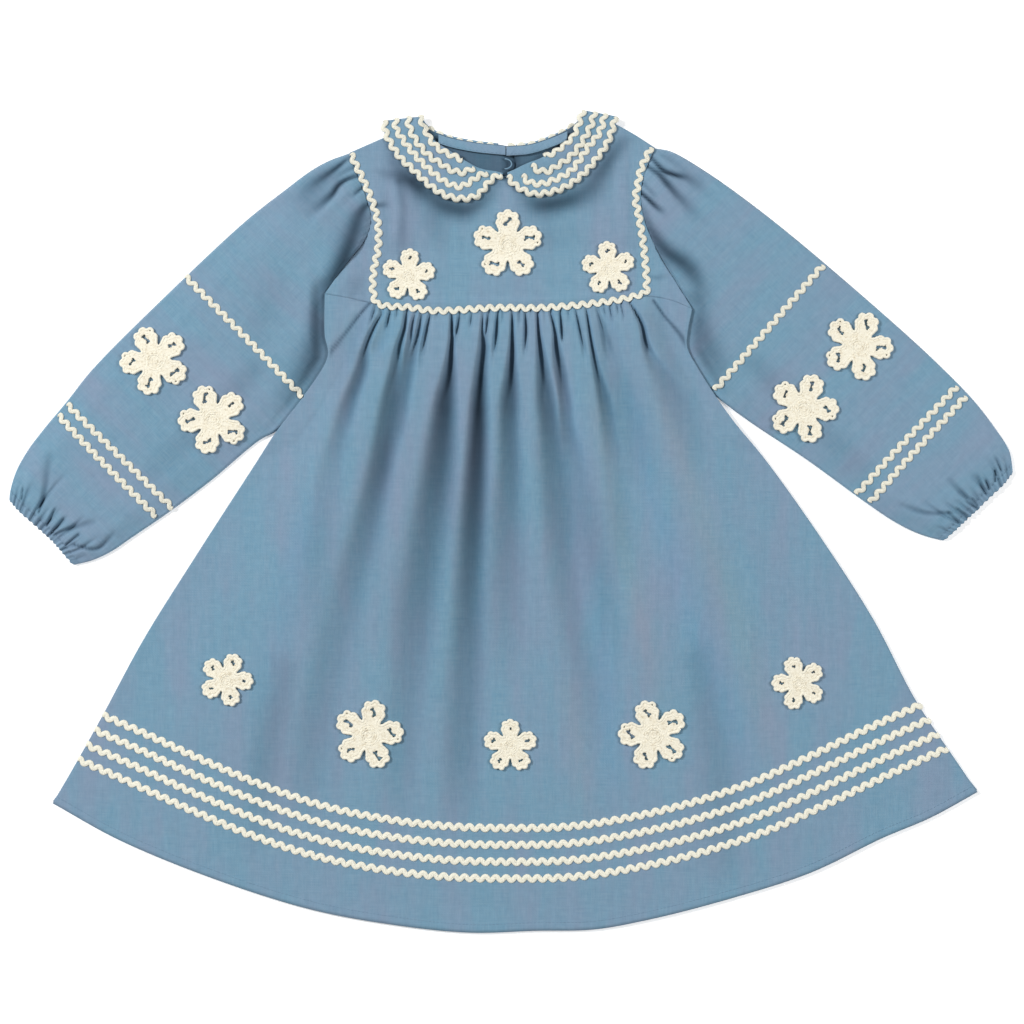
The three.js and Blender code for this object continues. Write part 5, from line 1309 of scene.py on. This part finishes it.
def stitchGroup(name, strands, floats):
    # instances of the strands along every line of the input, turned to it, then made real
    group, source, sink, sockets = nodeGroup(name, floats | {"Material": "NodeSocketMaterial"})
    curve = put(group, "GeometryNodeMeshToCurve", {0: source.outputs["Geometry"]})
    values = {"Curve": curve, "Length": source.outputs["Pitch"]}
    curve = put(group, "GeometryNodeResampleCurve", values, mode="LENGTH")
    joined = group.nodes.new("GeometryNodeJoinGeometry")
    for start, middle, end in strands:
        tube = strand(group, start, middle, end, source.outputs["Radius"], 4, 5)
        group.links.new(tube, joined.inputs[0])
    tangent = put(group, "GeometryNodeInputTangent")
    turn = put(group, "FunctionNodeAlignRotationToVector", {"Vector": tangent}, axis="X", pivot_axis="Z")
    size = put(group, "FunctionNodeRandomValue", {"Min": 0.9, "Max": 1.12, "Seed": 5}, 1, data_type="FLOAT")
    values = {0: (-0.1, -0.1, -0.14), 1: (0.1, 0.1, 0.14), "Seed": 9}
    sway = put(group, "FunctionNodeRandomValue", values, data_type="FLOAT_VECTOR")
    values = {"Rotation": turn, "Rotate By": put(group, "FunctionNodeEulerToRotation", {0: sway})}
    turn = put(group, "FunctionNodeRotateRotation", values, rotation_space="LOCAL")
    values = {"Points": curve, "Instance": joined.outputs[0], "Rotation": turn, "Scale": size}
    real = put(group, "GeometryNodeRealizeInstances", {0: put(group, "GeometryNodeInstanceOnPoints", values)})
    real = put(group, "GeometryNodeSetShadeSmooth", {0: real})
    real = put(group, "GeometryNodeSetMaterial", {"Geometry": real, "Material": source.outputs["Material"]})
    group.links.new(real, sink.inputs[0])
    return group, sockets


def applied(obj, group, sockets, values):
    # evaluates the group on the object and keeps the plain mesh
    modifier = obj.modifiers.new("stitches", "NODES")
    modifier.node_group = group
    for label, value in values.items():
        modifier[sockets[label]] = value
    bpy.context.view_layer.update()
    depsgraph = bpy.context.evaluated_depsgraph_get()
    mesh = bpy.data.meshes.new_from_object(obj.evaluated_get(depsgraph), depsgraph=depsgraph)
    obj.modifiers.remove(modifier)
    old = obj.data
    obj.data = mesh
    bpy.data.meshes.remove(old)
    return obj


def linesObject(name, lines):
    # every line is an array of points in mm, joined by edges
    mesh = bpy.data.meshes.new(name)
    points, edges = [], []
    for line in lines:
        base = len(points)
        points += [(x * mm, (y + seat) * mm, z * mm) for x, y, z in line]
        edges += [(base + k, base + k + 1) for k in range(len(line) - 1)]
    mesh.from_pydata(points, edges, [])
    obj = bpy.data.objects.new(name, mesh)
    collection.objects.link(obj)
    return obj


floats = {"Pitch": "NodeSocketFloat", "Radius": "NodeSocketFloat"}
sewing, sewingSockets = stitchGroup(
    "sewingStitches", [((-0.0011, 0, -0.0001), (0, 0, 0.00022), (0.0011, 0, -0.0001))], floats)
crochet, crochetSockets = stitchGroup(
    "crochetStitches",
    [((-0.0019, side * 0.0004, -0.0002), (0.0003, side * 0.0013, 0.0012), (0.0021, side * 0.0004, 0.0004))
     for side in (1, -1)],
    floats)

sewn = {"pitch": 3.0, "radius": 0.17}


def seamOn(plan, edge, count, fromEnd, above):
    # a line across a panel at that share of its length from the end, just over the cloth
    line = plan(np.linspace(edge, 1 - edge, count), np.full(count, 1 - fromEnd))
    return np.column_stack([line, onCloth(line[:, 0], line[:, 1]) + above])


hemShare = skirtFront["hemTurn"] / skirtFront["length"]
stitchLines = {"skirtFront": seamOn(skirtPlan, 0.003, 900, hemShare, 0.02)}
for sideName in ("left", "right"):
    title = sideName.title()
    casing = sleeves["casing"] / sleeves["length"]
    stitchLines["sleeve" + title] = seamOn(sleevePlan(sideName), 0.02, 160, casing, 0.05)
    upper = edgeOf(binding[sideName])(np.linspace(0.02, 0.98, 80))
    lower = upper - (0, binding["width"] - binding["stitchUp"])
    stitchLines["neckBinding" + title] = np.column_stack([lower, np.full(80, binding["top"] + 0.1)])
stitchPieces = []
for name, line in stitchLines.items():
    values = {"Pitch": sewn["pitch"] * mm, "Radius": sewn["radius"] * mm, "Material": blueThread}
    stitchPieces.append(applied(linesObject(name + "Stitches", [line]), sewing, sewingSockets, values))
print("stitches done")


# Crochet flowers: a dense ground with a slot in each petal, cords on it and a round of stitches at the heart

flowerForm = {
    "petals": 5,
    "drawnAt": 27,
    "petalCentre": 17.8,
    # round scallops about a petal's centre: turn, distance out and radius
    "lobes": [(-106, 6.2, 3.1), (-52, 6.4, 3.0), (0, 6.4, 3.1), (52, 6.4, 3.0), (106, 6.2, 3.1)],
    "waist": 6.8,
    "heart": 11.0,
    "join": 0.6,
    "slot": {"at": 17.0, "half": 3.4, "middle": 0.3, "ends": 1.45},
    "slotTurns": [34, -16, 58, -30, 10],
    "slotSizes": [1.0, 0.8, 0.95, 0.7, 1.05],
    "pins": [(24.2, 1.8), (21.6, -5.2)],  # small holes in each petal
    # yarn cords, by distance in from the outline or round the heart, and radius
    "cords": [(1.15, 1.25), (3.7, 1.0)],
    "heartCords": [(2.1, 1.1), (7.4, 1.0)],
    "cordRise": 1.3,
    "swell": 0.14,
    "sides": 8,
    "heartRound": (4.8, 0.9),
    "ground": 2.0,
    "groundPitch": 0.7,
    "stitch": {"pitch": 2.9, "radius": 0.92},
}


def flowerDistance(x, y):
    # distance to the outline of an upright flower of radius 27, less than 0 inside, with soft joins
    f = flowerForm
    near = np.exp(-(np.hypot(x, y) - f["heart"]) / f["join"])
    for petal in range(f["petals"]):
        angle = math.radians(petal * 72)
        p = x * math.cos(angle) + y * math.sin(angle)
        q = -x * math.sin(angle) + y * math.cos(angle)
        near += np.exp(-(np.hypot(p - p.clip(0, f["petalCentre"]), q) - f["waist"]) / f["join"])
        for turn, away, radius in f["lobes"]:
            cx = f["petalCentre"] + away * math.cos(math.radians(turn)) * 0.84
            cy = away * math.sin(math.radians(turn))
            near += np.exp(-(np.hypot(p - cx, q - cy) - radius) / f["join"])
    return -f["join"] * np.log(near)


def slotDistance(x, y, small, shift):
    # distance to the nearest hole in the petals, which differ in turn and size
    f = flowerForm
    slot = f["slot"]
    best = np.full(np.shape(x), 99.0)
    for petal in range(f["petals"]):
        angle = math.radians(petal * 72)
        p = x * math.cos(angle) + y * math.sin(angle) - slot["at"]
        q = -x * math.sin(angle) + y * math.cos(angle)
        turn = math.radians(f["slotTurns"][(petal + shift) % 5] * (1 if shift % 2 else -1))
        size = f["slotSizes"][(petal + 2 * shift) % 5]
        a = p * math.cos(turn) + q * math.sin(turn)
        b = -p * math.sin(turn) + q * math.cos(turn)
        half = slot["half"] * size * (0.45 if small else 1)
        a, b = a + 0.35 * np.sin(1.3 * b + petal), b + 0.45 * np.sin(0.9 * a + shift)
        wide = slot["middle"] + (slot["ends"] * size - slot["middle"]) * (np.abs(a) / half).clip(0, 1) ** 1.4
        best = np.minimum(best, np.maximum(np.abs(a) - half, np.abs(b) - wide))
        for pinAlong, pinAcross in f["pins"]:
            pin = np.hypot(p + slot["at"] - pinAlong, q - pinAcross) - (0.1 if small else 0.3)
            best = np.minimum(best, pin)
    return best


flowerLines = {}


def contourOf(level):
    # closed line round the flower at that distance inside its outline
    if level in flowerLines:
        return flowerLines[level]
    angles = np.linspace(0, 2 * np.pi, 721)
    radii = np.linspace(2, 30, 561)
    x = radii[None] * np.cos(angles)[:, None]
    y = radii[None] * np.sin(angles)[:, None]
    inside = flowerDistance(x, y) < -level
    if level > 2:
        # farther in, the soft distance is off by too much, so it is measured to the outline itself
        gap = np.full(x.shape, 99.0)
        for px, py in contourOf(0)[::2]:
            np.minimum(gap, np.hypot(x - px, y - py), out=gap)
        inside = (flowerDistance(x, y) < 0) & (gap > level)
    last = inside.shape[1] - 1 - np.argmax(inside[:, ::-1], axis=1)
    r = radii[last]
    flowerLines[level] = np.stack([r * np.cos(angles), r * np.sin(angles)], 1)
    return flowerLines[level]


def ringOf(radius):
    around = np.linspace(0, 2 * np.pi, 61)
    return np.stack([radius * np.cos(around), radius * np.sin(around)], 1)


def flowerOf(name, cx, cy, radius, turn, shift):
    f = flowerForm
    stitch = f["stitch"]
    small = radius < 24
    scale = radius / f["drawnAt"]
    angle = math.radians(turn)

    def placed(xy, z):
        x = cx + scale * (xy[..., 0] * math.cos(angle) - xy[..., 1] * math.sin(angle))
        y = cy + scale * (xy[..., 0] * math.sin(angle) + xy[..., 1] * math.cos(angle))
        return np.stack([x, y, underFlower(x, y) + 0.1 + z], -1)

    step = f["groundPitch"] / scale
    ticks = np.arange(-28, 28 + step, step)
    gx, gy = np.meshgrid(ticks, ticks)
    keep = (flowerDistance(gx, gy) < -0.35) & (slotDistance(gx, gy, small, shift) > 0)
    index = -np.ones(gx.shape, int)
    cells = np.argwhere(keep[:-1, :-1] & keep[1:, :-1] & keep[:-1, 1:] & keep[1:, 1:])
    used = np.zeros(gx.shape, bool)
    for i, j in cells:
        used[i:i + 2, j:j + 2] = True
    index[used] = np.arange(used.sum())
    flat = np.stack([gx[used], gy[used]], -1)
    x, y = flat.T
    bump = 0.3 * np.sin(x * 2.4 + np.sin(y * 1.7) + shift) * np.sin(y * 2.3 + shift)
    top = placed(flat, f["ground"] + bump)
    low = placed(flat, np.zeros(len(flat)))
    count = len(flat)
    quads = []
    filled = {(i, j) for i, j in cells}
    for i, j in cells:
        a, b, c, d = index[i, j], index[i, j + 1], index[i + 1, j + 1], index[i + 1, j]
        quads += [(a, b, c, d), (d + count, c + count, b + count, a + count)]
        for di, dj, m, n in ((-1, 0, b, a), (0, 1, c, b), (1, 0, d, c), (0, -1, a, d)):
            if (i + di, j + dj) not in filled:
                quads.append((m, n, n + count, m + count))
    ground = meshOf(name + "Ground", np.vstack([top, low]), quads, None, yarnCotton)

    # cords of yarn, each closed on itself and swollen at every stitch
    cords = [(contourOf(level / scale if small else level), cordRadius) for level, cordRadius in f["cords"]]
    cords += [(ringOf(ringRadius), cordRadius) for ringRadius, cordRadius in f["heartCords"]]
    points, quads, start = [], [], 0
    for line, cordRadius in cords:
        lengths = lengthsOf(line) * scale
        places = np.linspace(0, lengths[-1], int(lengths[-1] / 0.5) + 1)
        line = np.stack([np.interp(places, lengths, line[:, k]) for k in (0, 1)], 1)
        spine = placed(line, np.full(len(line), f["cordRise"]))
        tangent = unit(np.gradient(spine, axis=0))
        aside = np.stack([-tangent[:, 1], tangent[:, 0], tangent[:, 2] * 0], 1)
        stitches = places / lengths[-1] * round(lengths[-1] / stitch["pitch"]) * np.pi
        swollen = cordRadius * (1 - f["swell"] + f["swell"] * 1.5 * np.abs(np.sin(stitches)) ** 0.7)
        turns = np.arange(f["sides"]) / f["sides"] * 2 * np.pi + 0.3 * np.sin(2 * stitches)[:, None]
        turned = np.cos(turns)[..., None] * aside[:, None] + np.sin(turns)[..., None] * np.array([0, 0, 0.95])
        rings = (spine[:, None] + swollen[:, None, None] * turned)[:-1]
        index = start + indexOf(*rings.shape[:2], True)
        quads.append(quadsOf(np.vstack([index, index[:1]])))
        points.append(rings.reshape(-1, 3))
        start += len(points[-1])
    border = meshOf(name + "Cords", np.vstack(points), np.vstack(quads), None, yarnCotton)
    # the outermost cord is the same yarn with less painted shade, so it comes out paler
    border.data.materials.append(yarnLessShaded)
    border.data.polygons.foreach_set("material_index", np.arange(sum(map(len, quads))) < len(quads[0]))

    ringRadius, rise = f["heartRound"]
    obj = linesObject(name, [placed(ringOf(ringRadius), np.full(61, rise))])
    values = {"Pitch": stitch["pitch"] * mm, "Radius": stitch["radius"] * mm, "Material": yarnCotton}
    applied(obj, crochet, crochetSockets, values)
    return obj, ground, border


flowerRadius = {"large": 29.4, "small": 22.6}
# place, turn and size of each
flowers = {
    "yoke_centre": (-2.6, 221.2, 90, "large"),
    "yoke_left": (-82, 196.6, 86, "small"),
    "yoke_right": (77.9, 202.4, 94, "small"),
    "sleeve_left_upper": (-284.6, 128.8, 41, "large"),
    "sleeve_left_lower": (-237.9, 81.7, 39, "large"),
    "sleeve_right_upper": (277.2, 140.3, 68, "large"),
    "sleeve_right_lower": (233.8, 90.5, 70, "large"),
    "skirt_far_left": (-227.4, -126.2, 68, "small"),
    "skirt_left": (-113.9, -170.2, 77, "large"),
    "skirt_centre": (-0.6, -179.4, 90, "small"),
    "skirt_right": (113.7, -170.4, 34, "large"),
    "skirt_far_right": (229.8, -129, 36, "small"),
}
flowerPieces = {}
for shift, (spot, (cx, cy, turn, size)) in enumerate(flowers.items()):
    name = "flower" + spot.title().replace("_", "")
    flowerPieces["flower_" + spot] = flowerOf(name, cx, cy, flowerRadius[size], turn, shift)
print("flowers done")


# What each piece is

def declare(obj, node=None):
    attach(obj, "root")
    if node:
        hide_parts(node)


declare(skirtFrontPiece, "skirt_front")
declare(skirtBackPiece, "skirt_back")
declare(yokeFrontPiece, "yoke_front")
declare(loopPiece, "button_loop")
declare(buttonPiece, "back_button")
for sideName in ("left", "right"):
    declare(yokeBackPieces[sideName], f"yoke_back_{sideName}")
    declare(sleevePieces[sideName], f"sleeve_{sideName}")
    declare(collarPieces[sideName], f"collar_{sideName}")
    declare(bindingPieces[sideName], f"neck_binding_{sideName}")
for node, obj in braids.items():
    declare(obj, node)
for obj in stitchPieces + list(backBraids.values()):
    declare(obj)
for node, pieces in flowerPieces.items():
    for piece in pieces:
        declare(piece, node)


# Floor, light and camera, in metres; the floor glows a little so that it comes out white

stage = {
    "floorHalf": 4,
    "floorLevel": -0.0006,
    "floorGrey": 0.93,
    "floorGlow": 0.32,
    "worldLight": 0.24,
    "lens": 85,
    "sensor": 36,
    "pictureWidth": 0.8192,
    "lookAt": (0.0008, 0.0076, 0.004),
}
half, level = stage["floorHalf"], stage["floorLevel"]
corners = [(x * half, y * half, level) for x, y in ((-1, -1), (1, -1), (1, 1), (-1, 1))]
floorMesh = bpy.data.meshes.new("floor")
floorMesh.from_pydata(corners, [], [(0, 1, 2, 3)])
floor = bpy.data.objects.new("floor", floorMesh)
collection.objects.link(floor)
floorMaterial, _, floorShader = nodeTree("floor")
floorShader.inputs["Base Color"].default_value = (*[stage["floorGrey"]] * 3, 1)
floorShader.inputs["Roughness"].default_value = 0.9
floorShader.inputs["Emission Color"].default_value = (1, 1, 1, 1)
floorShader.inputs["Emission Strength"].default_value = stage["floorGlow"]
floorMesh.materials.append(floorMaterial)

lights = {
    "key": {"place": (-2.9, 1.4, 2.9), "size": 1.1, "power": 150.0},
    "fill": {"place": (3.0, 0.4, 2.8), "size": 1.6, "power": 82.0},
}
for name, light in lights.items():
    data = bpy.data.lights.new(name, "AREA")
    data.shape = "DISK"
    data.size = light["size"]
    data.energy = light["power"]
    obj = bpy.data.objects.new(name, data)
    obj.location = light["place"]
    obj.rotation_euler = (-Vector(light["place"])).to_track_quat("-Z", "Y").to_euler()
    collection.objects.link(obj)
world = bpy.data.worlds.new("studio")
world.use_nodes = True
sky = world.node_tree.nodes["Background"]
sky.inputs["Color"].default_value = (1.0, 1.0, 1.0, 1)
sky.inputs["Strength"].default_value = stage["worldLight"]
scene.world = world
scene.view_settings.view_transform = "Standard"

cameraData = bpy.data.cameras.new("camera")
cameraData.lens = stage["lens"]
cameraData.sensor_width = stage["sensor"]
cameraData.clip_end = 20
camera = bpy.data.objects.new("camera", cameraData)
x, y, z = stage["lookAt"]
camera.location = (x, y + seat * mm, z + stage["pictureWidth"] * stage["lens"] / stage["sensor"])
collection.objects.link(camera)
scene.camera = camera
meshes = [obj.data for obj in scene.objects if obj.type == "MESH"]
print("stage done,", sum(len(face.vertices) - 2 for mesh in meshes for face in mesh.polygons), "triangles")
